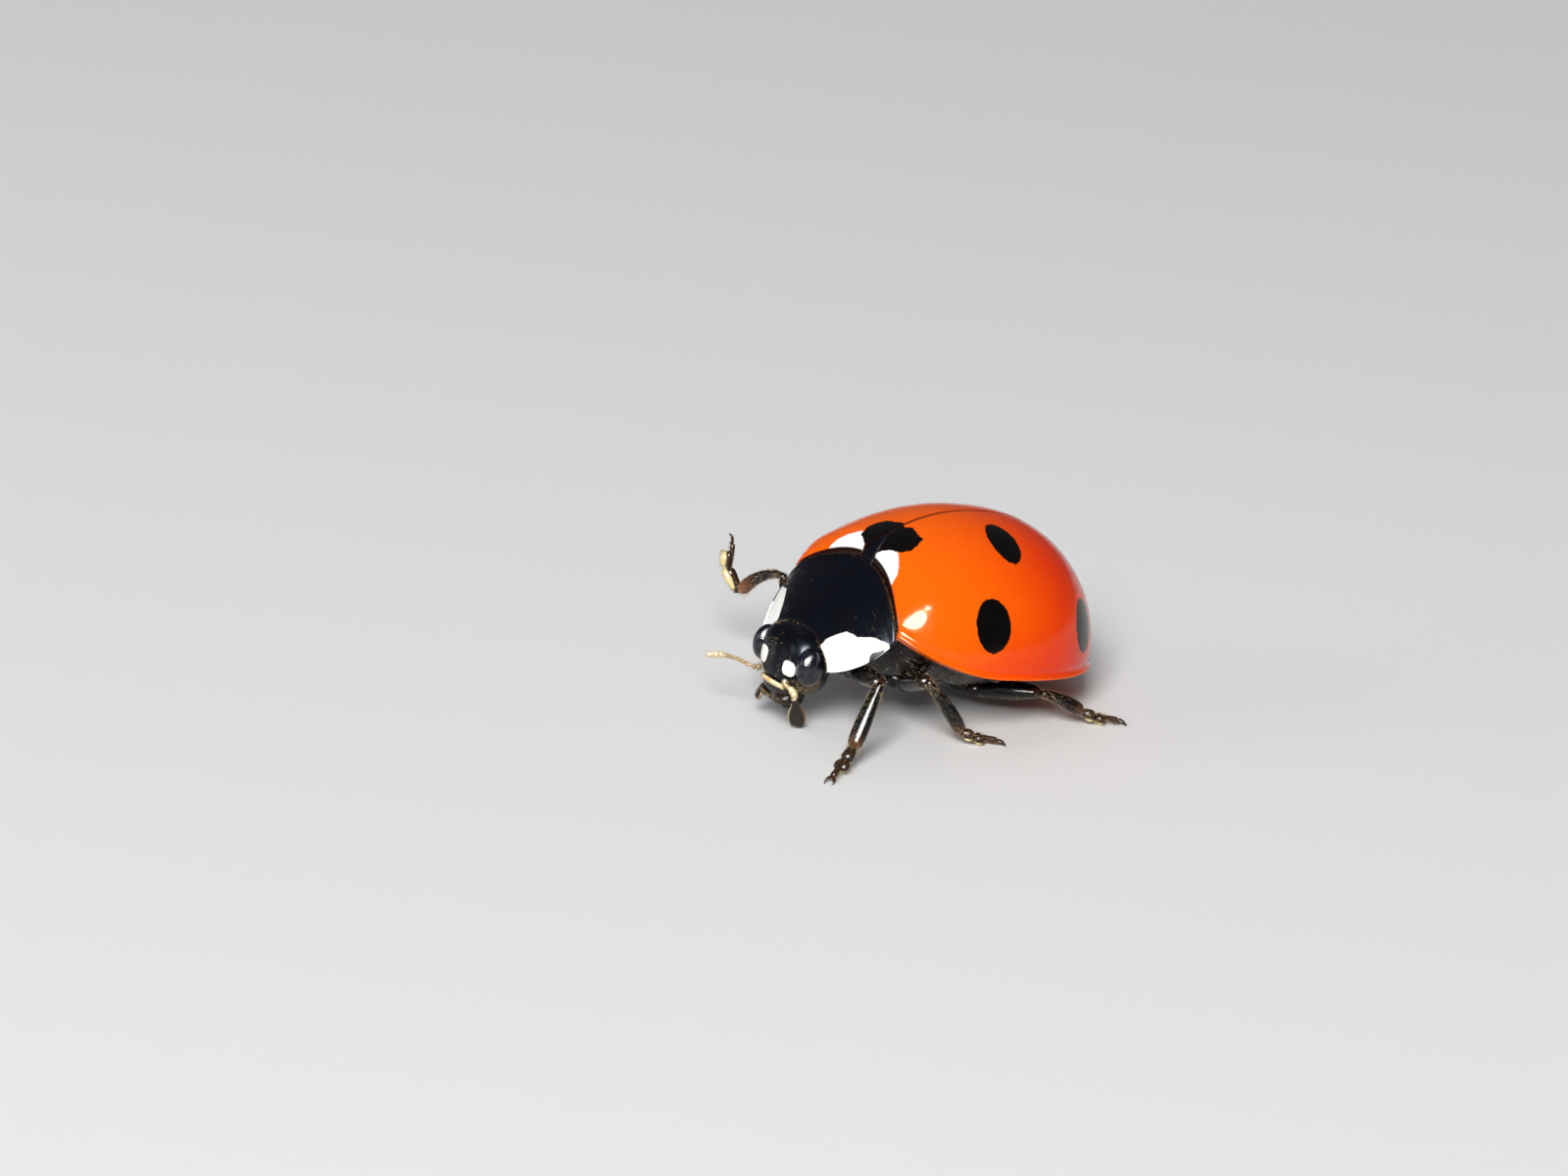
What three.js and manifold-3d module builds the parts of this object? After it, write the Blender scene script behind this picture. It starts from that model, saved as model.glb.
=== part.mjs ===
// Seven-spot ladybird (Coccinella septempunctata), life size, standing with its right foreleg raised.
// Millimetres, +Z up, head towards -Y, the beetle's left side towards +X.
// Every piece is first drawn in body axes: x = 0 is the plane of symmetry, y = 0 the widest station
// of the wing cases and z = 0 the level of their side margin there.  The group then raises the head
// end and stands the beetle on the plane z = 0, with its origin under the middle of its own box.

import * as THREE from "three";
import { mergeVertices } from "three/addons/utils/BufferGeometryUtils.js";
import Module from "manifold-3d";

const wasm = await Module();
wasm.setup();

// ---------------------------------------------------------------- driving dimensions
const JOINT_GAP = 0.02;            // clearance left where one piece meets the next
const WELD = 1e-3;                 // points nearer than this are one point
const SIDES = { left: 1, right: -1 };
const BODY_PITCH = THREE.MathUtils.degToRad(10);   // the head end is raised by this angle
const STAND_HEIGHT = 1.42;         // in body axes, from the floor up to the side margin at y = 0
const TOE_HEIGHT = 0.2;            // middle of a standing foot's end above the floor, under its radius
const ANKLE_HEIGHT = 0.34;
const HIGH_ANKLE = 0.45;            // that of the foot set down steeply in front

const ELYTRA = {
  halfWidth: 2.8,                  // at y = 0
  frontLength: 2.844,              // y = 0 to where the width curve would close in front
  rearLength: 3.43,                // y = 0 to the hind tip
  height: 2.711,                   // highest point above the side margin
  peakY: 0.326,                    // station of the highest point
  peakFront: 3.229,                // peak to where the height curve would close in front
  frontRise: 0.615,                // the side margin climbs this much up to the base
  rearDrop: 0.078,                 // and falls this much down to the tip
  baseY: -2.322,                   // station of the outer ends of the base
  frontPower: 2.6,                 // squareness of the shoulders
  rearPower: 2.23,                 // squareness of the hind half in plan
  heightPower: 2.48,               // squareness of the hind half in profile
  tailPower: 1.9,                  // how steeply the profile ends at the tip
  crossPower: 0.95,                // roundness of the cross-section
  wall: 0.5,                       // thickness of a wing case, also the width of its lower rim
  baseRoll: 0.16,                  // the base edge rolls down by this much
  baseRollLength: 0.45,            // and the roll is this long
};

const PRONOTUM = {
  rearHalfWidth: 2.02,
  frontHalfWidth: 1.25,
  frontCornerY: -3.29,
  rearCornerY: -2.34,
  frontMiddleY: -3.22,
  rearMiddleY: -2.03,
  frontCornerZ: -0.45,
  rearCornerZ: 0.5,
  frontMiddleZ: 0.1,
  rearMiddleZ: 1.53,
  straightness: 0.55,              // share of a straight slope in the profile of the ridge
  marginPower: 1.38,               // the side margin sags before it climbs to the rear corner
  crossPower: 1.45,                // the cross-section is flatter at the sides than an ellipse
  lobePower: 3.6,                  // how narrowly the rear edge is drawn back over the middle
  wall: 0.35,
};

const PROTHORAX_RINGS = [0.32, 0.5, 0.68, 0.84, 0.97];     // shares from the pronotum's front edge

const BELLY = { depth: 0.82, middleY: -0.3, frontLength: 4.6, rearLength: 4.3, roundness: 1.6 };
const MESOTHORAX_END = -0.85;      // stations where the underside is divided
const METATHORAX_END = 0.8;
const ABDOMEN_END = 2.86;
const VENTRITES = 5;               // rings of the abdomen that show from below
const VENTRITE_STEP = 0.035;       // share by which each ring's front is drawn in
const STEP_RUN = 4 * WELD;         // and the length of the step there

const HEAD = {
  centreY: -3.18,
  centreZ: -0.58,
  halfWidth: 0.85,
  halfLength: 0.58,
  halfHeight: 0.7,
  backY: -2.93,                    // the head ends here, inside the pronotum
  squareness: 2.9,                 // 2 would be an ellipsoid; more makes a flatter face
  neckWidening: 1.12,              // the cut end behind is this much wider than the ellipsoid
  chinNarrowing: 0.3,              // share by which the face narrows down to the mouth
  chinPower: 1.5,                  // more keeps the narrowing nearer the mouth
};
const EYE = { centre: [0.84, -3.42, -0.52], radii: [0.22, 0.3, 0.38] };
const LABRUM = { halfWidth: 0.47, frontY: -3.76, bow: 0.1, thickness: 0.3, topZ: -1.08, bottomZ: -1.36 };
const MOUTHPARTS = { centre: [0, -3.24, -1.32], radii: [0.46, 0.34, 0.3] };
const SCUTELLUM = {
  halfWidth: 0.2,
  length: 0.42,
  thickness: 0.34,
  proud: 0.02,
  fullness: 0.5,                   // share of the half width at the bulge of each side
  shoulder: 0.7,                   // and its place along the length
};

// Radii along each part of a limb, from its root to its end: none is thinner than 0.5 mm.
const COXA_RADII = [0.3, 0.3, 0.3];
const FEMUR_RADII = [0.26, 0.31, 0.29];
const TIBIA_RADII = [0.25, 0.26, 0.28];
const TARSUS_RADII = [0.25, 0.25, 0.25];
const FEELER_RADII = [0.25, 0.25, 0.25];

// Root of the coxa and hip of each pair of legs, on the left side.
const HIPS = {
  front: { root: [0.38, -2.5, -0.42], hip: [0.85, -2.45, -0.5] },
  middle: { root: [0.5, -1.3, -0.6], hip: [1.05, -1.2, -0.72] },
  hind: { root: [0.42, 0.3, -0.62], hip: [1.15, 0.42, -0.74] },
};

// The floor in body axes falls away under the raised head.
const floorLevel = (y) => y * Math.tan(BODY_PITCH) - STAND_HEIGHT;

// A leg that stands on the floor, from its knee and the places in plan of its ankle and toe.
const standing = (knee, [ankleX, ankleY], [toeX, toeY], ankleHeight = ANKLE_HEIGHT) => ({
  knee,
  ankle: [ankleX, ankleY, floorLevel(ankleY) + ankleHeight],
  toe: [toeX, toeY, floorLevel(toeY) + TOE_HEIGHT],
});

// The rest of each leg.  The right foreleg is raised and the others stand.
const LEGS = {
  front_left: standing([2.38, -2.76, -0.3], [2.68, -3.3], [3.2, -4.05], HIGH_ANKLE),
  middle_left: standing([2.4, -1.63, -0.22], [2.48, -0.58], [2.8, 0.16]),
  hind_left: standing([2.3, 1.32, -0.42], [2.55, 2.28], [2.84, 3.04]),
  front_right: { knee: [-2.36, -2.22, 0.38], ankle: [-3.46, -2.56, -0.27], toe: [-3.8, -2.78, 0.62] },
  middle_right: standing([-2.4, -1.5, -0.22], [-2.72, -1.3], [-2.98, -0.54]),
  hind_right: standing([-2.3, 1.32, -0.42], [-2.52, 2.3], [-2.8, 3.06]),
};

// Feelers and palps, in body axes.
const FEELERS = {
  antenna_left: { root: [0.5, -3.5, -0.9], bend: [1.05, -3.86, -0.94], tip: [1.5, -4.04, -0.94] },
  antenna_right: { root: [-0.5, -3.5, -0.9], bend: [-1.0, -4.1, -0.92], tip: [-1.32, -4.42, -0.93] },
};
const PALPS = {
  palp_left: { root: [0.42, -3.3, -1.2], tip: [0.44, -3.12, -1.62] },
  palp_right: { root: [-0.42, -3.34, -1.2], tip: [-0.52, -3.62, -1.48] },
};

// How finely each surface is divided.
const SHELL_ROWS = 16;
const SHELL_COLUMNS = 9;
const SHIELD_ROWS = 9;
const SHIELD_COLUMNS = 18;
const ARC_STEPS = 12;              // points along the upper and the lower half of a body ring
const TRUNK_ROWS = 4;
const HEAD_ROWS = 9;
const HEAD_SIDES = 20;
const GLOBE_SIDES = 14;
const GLOBE_RINGS = 9;
const LABRUM_ROWS = 3;
const LABRUM_COLUMNS = 8;
const CURVE_STEPS = 5;             // along each side of the scutellum
const LIMB_SIDES = 8;
const FLOOR_REACH = 40;            // side of the block that stands for the space above the floor

// ---------------------------------------------------------------- finishes
const finish = (color, roughness) => new THREE.MeshStandardMaterial({ color, roughness, metalness: 0 });
const RED_SHELL = finish(0xd63a08, 0.22);
const BLACK_SHELL = finish(0x0b0b12, 0.2);
const BLACK_BODY = finish(0x14120f, 0.4);
const BLACK_LEG = finish(0x1a150f, 0.35);
const EYE_BLACK = finish(0x08080a, 0.12);
const BROWN_FEELER = finish(0x6b4a1c, 0.45);
const PALE_LIP = finish(0xc9b27a, 0.4);

// ---------------------------------------------------------------- solids and booleans
const vector = (p) => new THREE.Vector3(...p);

// Welds a geometry's points and drops the triangles that the weld has closed.
function weld(geometry) {
  for (const name of Object.keys(geometry.attributes)) {
    if (name !== "position") geometry.deleteAttribute(name);
  }
  const welded = mergeVertices(geometry, WELD);
  const corners = welded.index.array;
  const kept = [];
  for (let i = 0; i < corners.length; i += 3) {
    const [a, b, c] = corners.slice(i, i + 3);
    if (a !== b && b !== c && c !== a) kept.push(a, b, c);
  }
  welded.setIndex(kept);
  return welded;
}

function toSolid(geometry) {
  const welded = weld(geometry);
  const mesh = new wasm.Mesh({
    numProp: 3,
    vertProperties: new Float32Array(welded.attributes.position.array),
    triVerts: new Uint32Array(welded.index.array),
  });
  return new wasm.Manifold(mesh);
}

function toGeometry(solid) {
  const mesh = solid.getMesh();
  const geometry = new THREE.BufferGeometry();
  geometry.setAttribute("position", new THREE.BufferAttribute(new Float32Array(mesh.vertProperties), 3));
  geometry.setIndex([...mesh.triVerts]);
  return weld(geometry);
}

// The largest body of a solid, so that a cut leaves no crumbs.
function largestBody(solid) {
  const bodies = solid.decompose();
  return bodies.reduce((best, body) => (body.volume() > best.volume() ? body : best));
}

// Cuts every tool from a solid.
function carve(solid, ...tools) {
  const cut = tools.reduce((rest, tool) => rest.subtract(tool), solid);
  return largestBody(cut).simplify(2 * WELD);
}

// ---------------------------------------------------------------- bodies from grids of points
function quad(faces, a, b, c, d) {
  faces.push([a, b, c], [a, c, d]);
}

// Makes a solid of faces that close on each other, turned outwards if they face in.
function closedBody(faces) {
  const volume = faces.reduce((sum, [a, b, c]) => sum + a.dot(b.clone().cross(c)), 0);
  const turned = volume < 0 ? faces.map(([a, b, c]) => [a, c, b]) : faces;
  const positions = turned.flat().flatMap((p) => p.toArray());
  const geometry = new THREE.BufferGeometry();
  geometry.setAttribute("position", new THREE.Float32BufferAttribute(positions, 3));
  return toSolid(geometry);
}

// A body lofted through closed rings of Vector3, with a fan over each end.
function loft(rings) {
  const faces = [];
  const count = rings[0].length;
  for (let i = 0; i + 1 < rings.length; i += 1) {
    for (let j = 0; j < count; j += 1) {
      const next = (j + 1) % count;
      quad(faces, rings[i][j], rings[i][next], rings[i + 1][next], rings[i + 1][j]);
    }
  }
  const fan = (ring, order) => {
    const middle = ring.reduce((sum, p) => sum.add(p), new THREE.Vector3()).divideScalar(count);
    for (let j = 0; j < count; j += 1) faces.push(order([middle, ring[j], ring[(j + 1) % count]]));
  };
  fan(rings[0], ([m, a, b]) => [m, b, a]);
  fan(rings[rings.length - 1], (face) => face);
  return closedBody(faces);
}

// A plate between an outer and an inner grid of points of the same size.
function plate(outer, inner) {
  const faces = [];
  const rows = outer.length - 1;
  const columns = outer[0].length - 1;
  for (let i = 0; i < rows; i += 1) {
    for (let j = 0; j < columns; j += 1) {
      quad(faces, outer[i][j], outer[i][j + 1], outer[i + 1][j + 1], outer[i + 1][j]);
      quad(faces, inner[i][j], inner[i + 1][j], inner[i + 1][j + 1], inner[i][j + 1]);
    }
    quad(faces, outer[i + 1][0], inner[i + 1][0], inner[i][0], outer[i][0]);
    quad(faces, outer[i][columns], inner[i][columns], inner[i + 1][columns], outer[i + 1][columns]);
  }
  for (let j = 0; j < columns; j += 1) {
    quad(faces, outer[0][j], inner[0][j], inner[0][j + 1], outer[0][j + 1]);
    quad(faces, outer[rows][j + 1], inner[rows][j + 1], inner[rows][j], outer[rows][j]);
  }
  return closedBody(faces);
}

// The shares 0, 1/count ... 1, each turned into something.
const along = (count, make) => Array.from({ length: count + 1 }, (_, i) => make(i / count));

// An ellipsoid with its radii along x, y and z.
function ellipsoid(centre, radii, grow = 0) {
  const geometry = new THREE.SphereGeometry(1, GLOBE_SIDES, GLOBE_RINGS);
  geometry.scale(...radii.map((radius) => radius + grow));
  geometry.translate(...centre);
  return toSolid(geometry);
}

// All the space above the floor, which trims the soles.
function aboveFloor() {
  const geometry = new THREE.BoxGeometry(FLOOR_REACH, FLOOR_REACH, FLOOR_REACH);
  geometry.translate(0, 0, FLOOR_REACH / 2);
  geometry.rotateX(BODY_PITCH);
  geometry.translate(0, 0, -STAND_HEIGHT);
  return toSolid(geometry);
}

// A rod with chamfered ends from one joint to the next, with its radii evenly spaced along it.
function rod(from, to, radii, grow = 0) {
  const start = vector(from);
  const axis = vector(to).sub(start);
  const length = axis.length();
  const first = radii[0] + grow;
  const last = radii[radii.length - 1] + grow;
  const profile = [
    new THREE.Vector2(0, -first),
    new THREE.Vector2(first * Math.SQRT1_2, -first * Math.SQRT1_2),
    ...radii.map((radius, i) => new THREE.Vector2(radius + grow, (length * i) / (radii.length - 1))),
    new THREE.Vector2(last * Math.SQRT1_2, length + last * Math.SQRT1_2),
    new THREE.Vector2(0, length + last),
  ];
  const geometry = new THREE.LatheGeometry(profile, LIMB_SIDES);
  const turn = new THREE.Quaternion().setFromUnitVectors(new THREE.Vector3(0, 1, 0), axis.normalize());
  geometry.applyQuaternion(turn);
  geometry.translate(...start);
  return toSolid(geometry);
}

// ---------------------------------------------------------------- wing cases
// The dome that both wing cases form together, drawn inwards by an inset.
class Dome {
  constructor(inset = 0) {
    this.inset = inset;
    this.halfWidthMax = ELYTRA.halfWidth - inset;
    this.rearLength = ELYTRA.rearLength - inset;
    this.height = ELYTRA.height - inset;
  }

  halfWidth(y) {
    if (y < 0) {
      const share = Math.min(1, -y / ELYTRA.frontLength) ** ELYTRA.frontPower;
      return this.halfWidthMax * (1 - share) ** (1 / ELYTRA.frontPower);
    }
    return this.halfWidthMax * Math.sqrt(1 - Math.min(1, y / this.rearLength) ** ELYTRA.rearPower);
  }

  margin(y) {
    if (y < 0) return ELYTRA.frontRise * (y / ELYTRA.baseY) ** 2;
    return -ELYTRA.rearDrop * Math.min(1, y / this.rearLength) ** 2;
  }

  ridge(y) {
    const run = y - ELYTRA.peakY;
    if (run < 0) return (ELYTRA.height * Math.sqrt(1 - (run / ELYTRA.peakFront) ** 2)) - this.inset;
    const share = Math.min(1, run / (this.rearLength - ELYTRA.peakY)) ** ELYTRA.heightPower;
    return -ELYTRA.rearDrop + (this.height + ELYTRA.rearDrop) * (1 - share) ** (1 / ELYTRA.tailPower);
  }

  // angle runs from the left margin (0) over the ridge (a quarter turn) to the right margin.
  point(y, angle) {
    const margin = this.margin(y);
    const fromBase = Math.max(0, 1 - (y - baseStation(angle)) / ELYTRA.baseRollLength);
    const ridge = this.ridge(y) - ELYTRA.baseRoll * fromBase ** 2;
    const lift = Math.max(0, ridge - margin) * Math.sin(angle) ** ELYTRA.crossPower;
    return new THREE.Vector3(this.halfWidth(y) * Math.cos(angle), y, margin + lift);
  }
}

// The station of the base, which is drawn back over the middle like the edge of the pronotum.
function baseStation(angle) {
  const bow = PRONOTUM.rearMiddleY - PRONOTUM.rearCornerY;
  return PRONOTUM.rearCornerY + bow * Math.max(0, Math.sin(angle)) ** PRONOTUM.lobePower + JOINT_GAP;
}

function elytron(side) {
  const grid = (dome) => along(SHELL_ROWS, (s) => along(SHELL_COLUMNS, (t) => {
    const angle = (t * Math.PI) / 2;
    const base = baseStation(angle);
    const y = base + (dome.rearLength - base) * Math.sin((s * Math.PI) / 2);
    const p = dome.point(y, angle);
    return new THREE.Vector3(side * Math.max(p.x, JOINT_GAP / 2), p.y, p.z);
  }));
  return plate(grid(new Dome()), grid(new Dome(ELYTRA.wall)));
}

// The little triangle between the wing cases at their base, sloping with the ridge of the dome.
function scutellum(grow = 0) {
  const { halfWidth, length, thickness, proud, fullness, shoulder } = SCUTELLUM;
  const front = PRONOTUM.rearMiddleY + JOINT_GAP - grow;
  const span = length + 2 * grow;
  const dome = new Dome();
  const ridge = (y) => dome.point(y, Math.PI / 2).z;
  const start = front + grow;
  const rise = (ridge(start + length) - ridge(start)) / length;
  const bulge = halfWidth * fullness + grow;
  const outline = new THREE.Shape();
  outline.moveTo(-halfWidth - grow, 0);
  outline.lineTo(halfWidth + grow, 0);
  outline.quadraticCurveTo(bulge, span * shoulder, 0, span);
  outline.quadraticCurveTo(-bulge, span * shoulder, -halfWidth - grow, 0);
  const settings = { depth: thickness + 2 * grow, bevelEnabled: false, curveSegments: CURVE_STEPS };
  const geometry = new THREE.ExtrudeGeometry(outline, settings);
  const top = ridge(start) + proud - rise * grow;
  geometry.translate(0, 0, -thickness - grow);
  geometry.applyMatrix4(new THREE.Matrix4().set(1, 0, 0, 0, 0, 1, 0, front, 0, rise, 1, top, 0, 0, 0, 1));
  return toSolid(geometry);
}

// ---------------------------------------------------------------- pronotum
// share runs from the front edge (0) to the rear edge (1), angle as in the dome.
function shieldPoint(share, angle, inset = 0) {
  const mix = THREE.MathUtils.lerp;
  const bulge = Math.sin((share * Math.PI) / 2);
  const halfWidth = mix(PRONOTUM.frontHalfWidth, PRONOTUM.rearHalfWidth, bulge) - inset;
  const margin = mix(PRONOTUM.frontCornerZ, PRONOTUM.rearCornerZ, share ** PRONOTUM.marginPower);
  const climb = mix(bulge, share, PRONOTUM.straightness);
  const ridge = mix(PRONOTUM.frontMiddleZ, PRONOTUM.rearMiddleZ, climb) - inset;
  const cornerY = mix(PRONOTUM.frontCornerY, PRONOTUM.rearCornerY, share);
  const middleY = mix(PRONOTUM.frontMiddleY, PRONOTUM.rearMiddleY, share);
  const arch = Math.max(0, Math.sin(angle));
  return new THREE.Vector3(
    halfWidth * Math.cos(angle),
    mix(cornerY, middleY, arch ** mix(1, PRONOTUM.lobePower, share)),
    margin + (ridge - margin) * arch ** PRONOTUM.crossPower,
  );
}

function pronotum(grow = 0) {
  const grid = (inset) => along(SHIELD_ROWS, (s) => along(SHIELD_COLUMNS, (t) => {
    const p = shieldPoint(s, t * Math.PI, inset);
    p.y += grow * (2 * s - 1);
    if (t === 0 || t === 1) p.z -= grow;
    return p;
  }));
  return plate(grid(-grow), grid(PRONOTUM.wall + grow));
}

// ---------------------------------------------------------------- underside
function bellyLevel(y) {
  const run = y - BELLY.middleY;
  const reach = run < 0 ? BELLY.frontLength : BELLY.rearLength;
  return -BELLY.depth * (1 - (run / reach) ** 2);
}

// A closed ring: over the back along upper points, then below from the right side to the left.
function bodyRing(upper, scale = 1) {
  const above = along(ARC_STEPS, (t) => upper(t * Math.PI));
  const [left, right] = [above[0], above[ARC_STEPS]];
  const below = along(ARC_STEPS, (t) => {
    const angle = t * Math.PI;
    const y = THREE.MathUtils.lerp(right.y, left.y, t);
    const sag = (left.z - bellyLevel(y)) * scale * Math.sin(angle) ** BELLY.roundness;
    return new THREE.Vector3(-left.x * Math.cos(angle), y, left.z - sag);
  });
  return [...above, ...below.slice(1, -1)];
}

const trunkDome = new Dome(ELYTRA.wall + JOINT_GAP);

// share is 1 where the ring follows the edge of the pronotum, and 0 where it is flat.
function trunkRing(y, scale = 1, share = 0) {
  return bodyRing((angle) => {
    const lobe = baseStation(angle) - baseStation(0);
    return trunkDome.point(y + share * lobe, angle);
  }, scale);
}

function prothorax() {
  const inset = PRONOTUM.wall + JOINT_GAP;
  return loft(PROTHORAX_RINGS.map((share) => bodyRing((angle) => shieldPoint(share, angle, inset))));
}

// The front ring follows the edge of the pronotum, and the middle one is flat.
function mesothorax() {
  return loft(along(TRUNK_ROWS, (s) => {
    const y = THREE.MathUtils.lerp(baseStation(0) + JOINT_GAP, MESOTHORAX_END - JOINT_GAP, s);
    return trunkRing(y, 1, Math.max(0, 1 - 2 * s));
  }));
}

function metathorax() {
  return loft(along(TRUNK_ROWS, (s) => (
    trunkRing(THREE.MathUtils.lerp(MESOTHORAX_END, METATHORAX_END - JOINT_GAP, s))
  )));
}

// One ring for each ventrite, drawn in a little at its front under the hind edge of the one before.
function abdomen() {
  const rings = [];
  for (let i = 0; i < VENTRITES; i += 1) {
    const front = THREE.MathUtils.lerp(METATHORAX_END, ABDOMEN_END, i / VENTRITES);
    const back = THREE.MathUtils.lerp(METATHORAX_END, ABDOMEN_END, (i + 1) / VENTRITES);
    rings.push(trunkRing(front + STEP_RUN, 1 - VENTRITE_STEP), trunkRing(back));
  }
  return loft(rings);
}

// ---------------------------------------------------------------- head
// A squared globe cut off behind, narrower towards the mouth.
function head(grow = 0) {
  const cut = (HEAD.backY - HEAD.centreY + grow) / (HEAD.halfLength + grow);
  const last = Math.PI - Math.acos(cut);
  const profile = along(HEAD_ROWS, (t) => new THREE.Vector2(Math.sin(t * last), -Math.cos(t * last)));
  profile[0].x = 0;
  profile.push(new THREE.Vector2(0, cut));
  const geometry = new THREE.LatheGeometry(profile, HEAD_SIDES);
  const positions = geometry.attributes.position;
  const power = HEAD.squareness;
  for (let i = 0; i < positions.count; i += 1) {
    const p = new THREE.Vector3().fromBufferAttribute(positions, i);
    const sum = Math.abs(p.x) ** power + Math.abs(p.y) ** power + Math.abs(p.z) ** power;
    const onFace = p.y < cut - WELD;
    const stretch = onFace ? p.length() / sum ** (1 / power) : HEAD.neckWidening;
    p.x *= stretch * (1 - HEAD.chinNarrowing * Math.max(0, -p.z) ** HEAD.chinPower);
    positions.setXYZ(i, p.x, onFace ? p.y * stretch : p.y, p.z * stretch);
  }
  geometry.scale(HEAD.halfWidth + grow, HEAD.halfLength + grow, HEAD.halfHeight + grow);
  geometry.translate(0, HEAD.centreY, HEAD.centreZ);
  return toSolid(geometry);
}

// A point on the left side, or its mirror image.
const onSide = (side, [x, y, z]) => [side * x, y, z];

const eye = (side, grow = 0) => ellipsoid(onSide(side, EYE.centre), EYE.radii, grow);

// The plate over the mouth, bowed round the front of the face.
function labrum(grow = 0) {
  const face = (y) => along(LABRUM_ROWS, (s) => along(LABRUM_COLUMNS, (t) => {
    const x = (2 * t - 1) * (LABRUM.halfWidth + grow);
    const z = THREE.MathUtils.lerp(LABRUM.topZ + grow, LABRUM.bottomZ - grow, s);
    return new THREE.Vector3(x, y + LABRUM.bow * (x / LABRUM.halfWidth) ** 2, z);
  }));
  return plate(face(LABRUM.frontY - grow), face(LABRUM.frontY + LABRUM.thickness + grow));
}

const mouthparts = (grow = 0) => ellipsoid(MOUTHPARTS.centre, MOUTHPARTS.radii, grow);

// ---------------------------------------------------------------- limbs
// The four pieces of a leg, and the hollow that its coxa and femur need in the body.
function legPieces(name) {
  const [pair, sideName] = name.split("_");
  const side = SIDES[sideName];
  const { root, hip } = HIPS[pair];
  const { knee, ankle, toe } = LEGS[name];
  const coxa = (grow = 0) => rod(onSide(side, root), onSide(side, hip), COXA_RADII, grow);
  const femur = (grow = 0) => rod(onSide(side, hip), knee, FEMUR_RADII, grow);
  const tibia = (grow = 0) => rod(knee, ankle, TIBIA_RADII, grow);
  return {
    coxa: coxa(),
    femur: carve(femur(), coxa(JOINT_GAP)),
    tibia: carve(tibia(), femur(JOINT_GAP)),
    tarsus: carve(rod(ankle, toe, TARSUS_RADII).intersect(aboveFloor()), tibia(JOINT_GAP)),
    socket: coxa(JOINT_GAP).add(femur(JOINT_GAP)),
  };
}

// ---------------------------------------------------------------- the beetle
const beetle = new THREE.Group();

function add(name, solid, material) {
  const mesh = new THREE.Mesh(toGeometry(solid), material);
  mesh.name = name;
  beetle.add(mesh);
}

const legs = Object.keys(LEGS).map((name) => [name, legPieces(name)]);
const sockets = legs.map(([, pieces]) => pieces.socket);

add("pronotum", pronotum(), BLACK_SHELL);
add("scutellum", scutellum(), BLACK_SHELL);
for (const [name, side] of Object.entries(SIDES)) {
  add(`elytron_${name}`, carve(elytron(side), scutellum(JOINT_GAP)), RED_SHELL);
}
add("prothorax", carve(prothorax(), head(JOINT_GAP), ...sockets), BLACK_BODY);
add("mesothorax", carve(mesothorax(), scutellum(JOINT_GAP), ...sockets), BLACK_BODY);
add("metathorax", carve(metathorax(), ...sockets), BLACK_BODY);
add("abdomen", carve(abdomen(), ...sockets), BLACK_BODY);

const eyeSockets = Object.values(SIDES).map((side) => eye(side, JOINT_GAP));
add("head", carve(head(), pronotum(JOINT_GAP), ...eyeSockets), BLACK_SHELL);
add("labrum", carve(labrum(), head(JOINT_GAP)), PALE_LIP);
add("mouthparts", carve(mouthparts(), head(JOINT_GAP), labrum(JOINT_GAP)), BLACK_BODY);
for (const [name, side] of Object.entries(SIDES)) {
  add(`eye_${name}`, carve(eye(side), pronotum(JOINT_GAP)), EYE_BLACK);
}

for (const [name, { root, bend, tip }] of Object.entries(FEELERS)) {
  const shaft = (grow = 0) => rod(root, bend, FEELER_RADII, grow);
  const face = [head(JOINT_GAP), ...eyeSockets, labrum(JOINT_GAP)];
  add(`${name}_shaft`, carve(shaft(), ...face), BROWN_FEELER);
  add(`${name}_club`, carve(rod(bend, tip, FEELER_RADII), shaft(JOINT_GAP), ...face), BROWN_FEELER);
}
for (const [name, { root, tip }] of Object.entries(PALPS)) {
  const mouth = [head(JOINT_GAP), labrum(JOINT_GAP), mouthparts(JOINT_GAP)];
  add(name, carve(rod(root, tip, FEELER_RADII), ...mouth), BROWN_FEELER);
}
for (const [name, pieces] of legs) {
  for (const part of ["coxa", "femur", "tibia", "tarsus"]) {
    add(`${part}_${name}`, pieces[part], BLACK_LEG);
  }
}

// Raise the head end, and stand the beetle on z = 0 with the origin under the middle of its box.
beetle.rotation.x = -BODY_PITCH;
const box = new THREE.Box3().setFromObject(beetle, true);
const middle = box.getCenter(new THREE.Vector3());
beetle.position.set(-middle.x, -middle.y, STAND_HEIGHT * Math.cos(BODY_PITCH));

export default beetle;
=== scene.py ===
"""A life-size seven-spot ladybird, dressed over its packed frame.

Sizes in the code are millimetres in body axes: x = 0 is the plane of symmetry, the head points
to -y, y = 0 is the widest station of the wing cases and z = 0 the level of their side margin there.
The body stands on the floor with its head end raised, and to_frame() carries body axes to the frame.
"""

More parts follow.
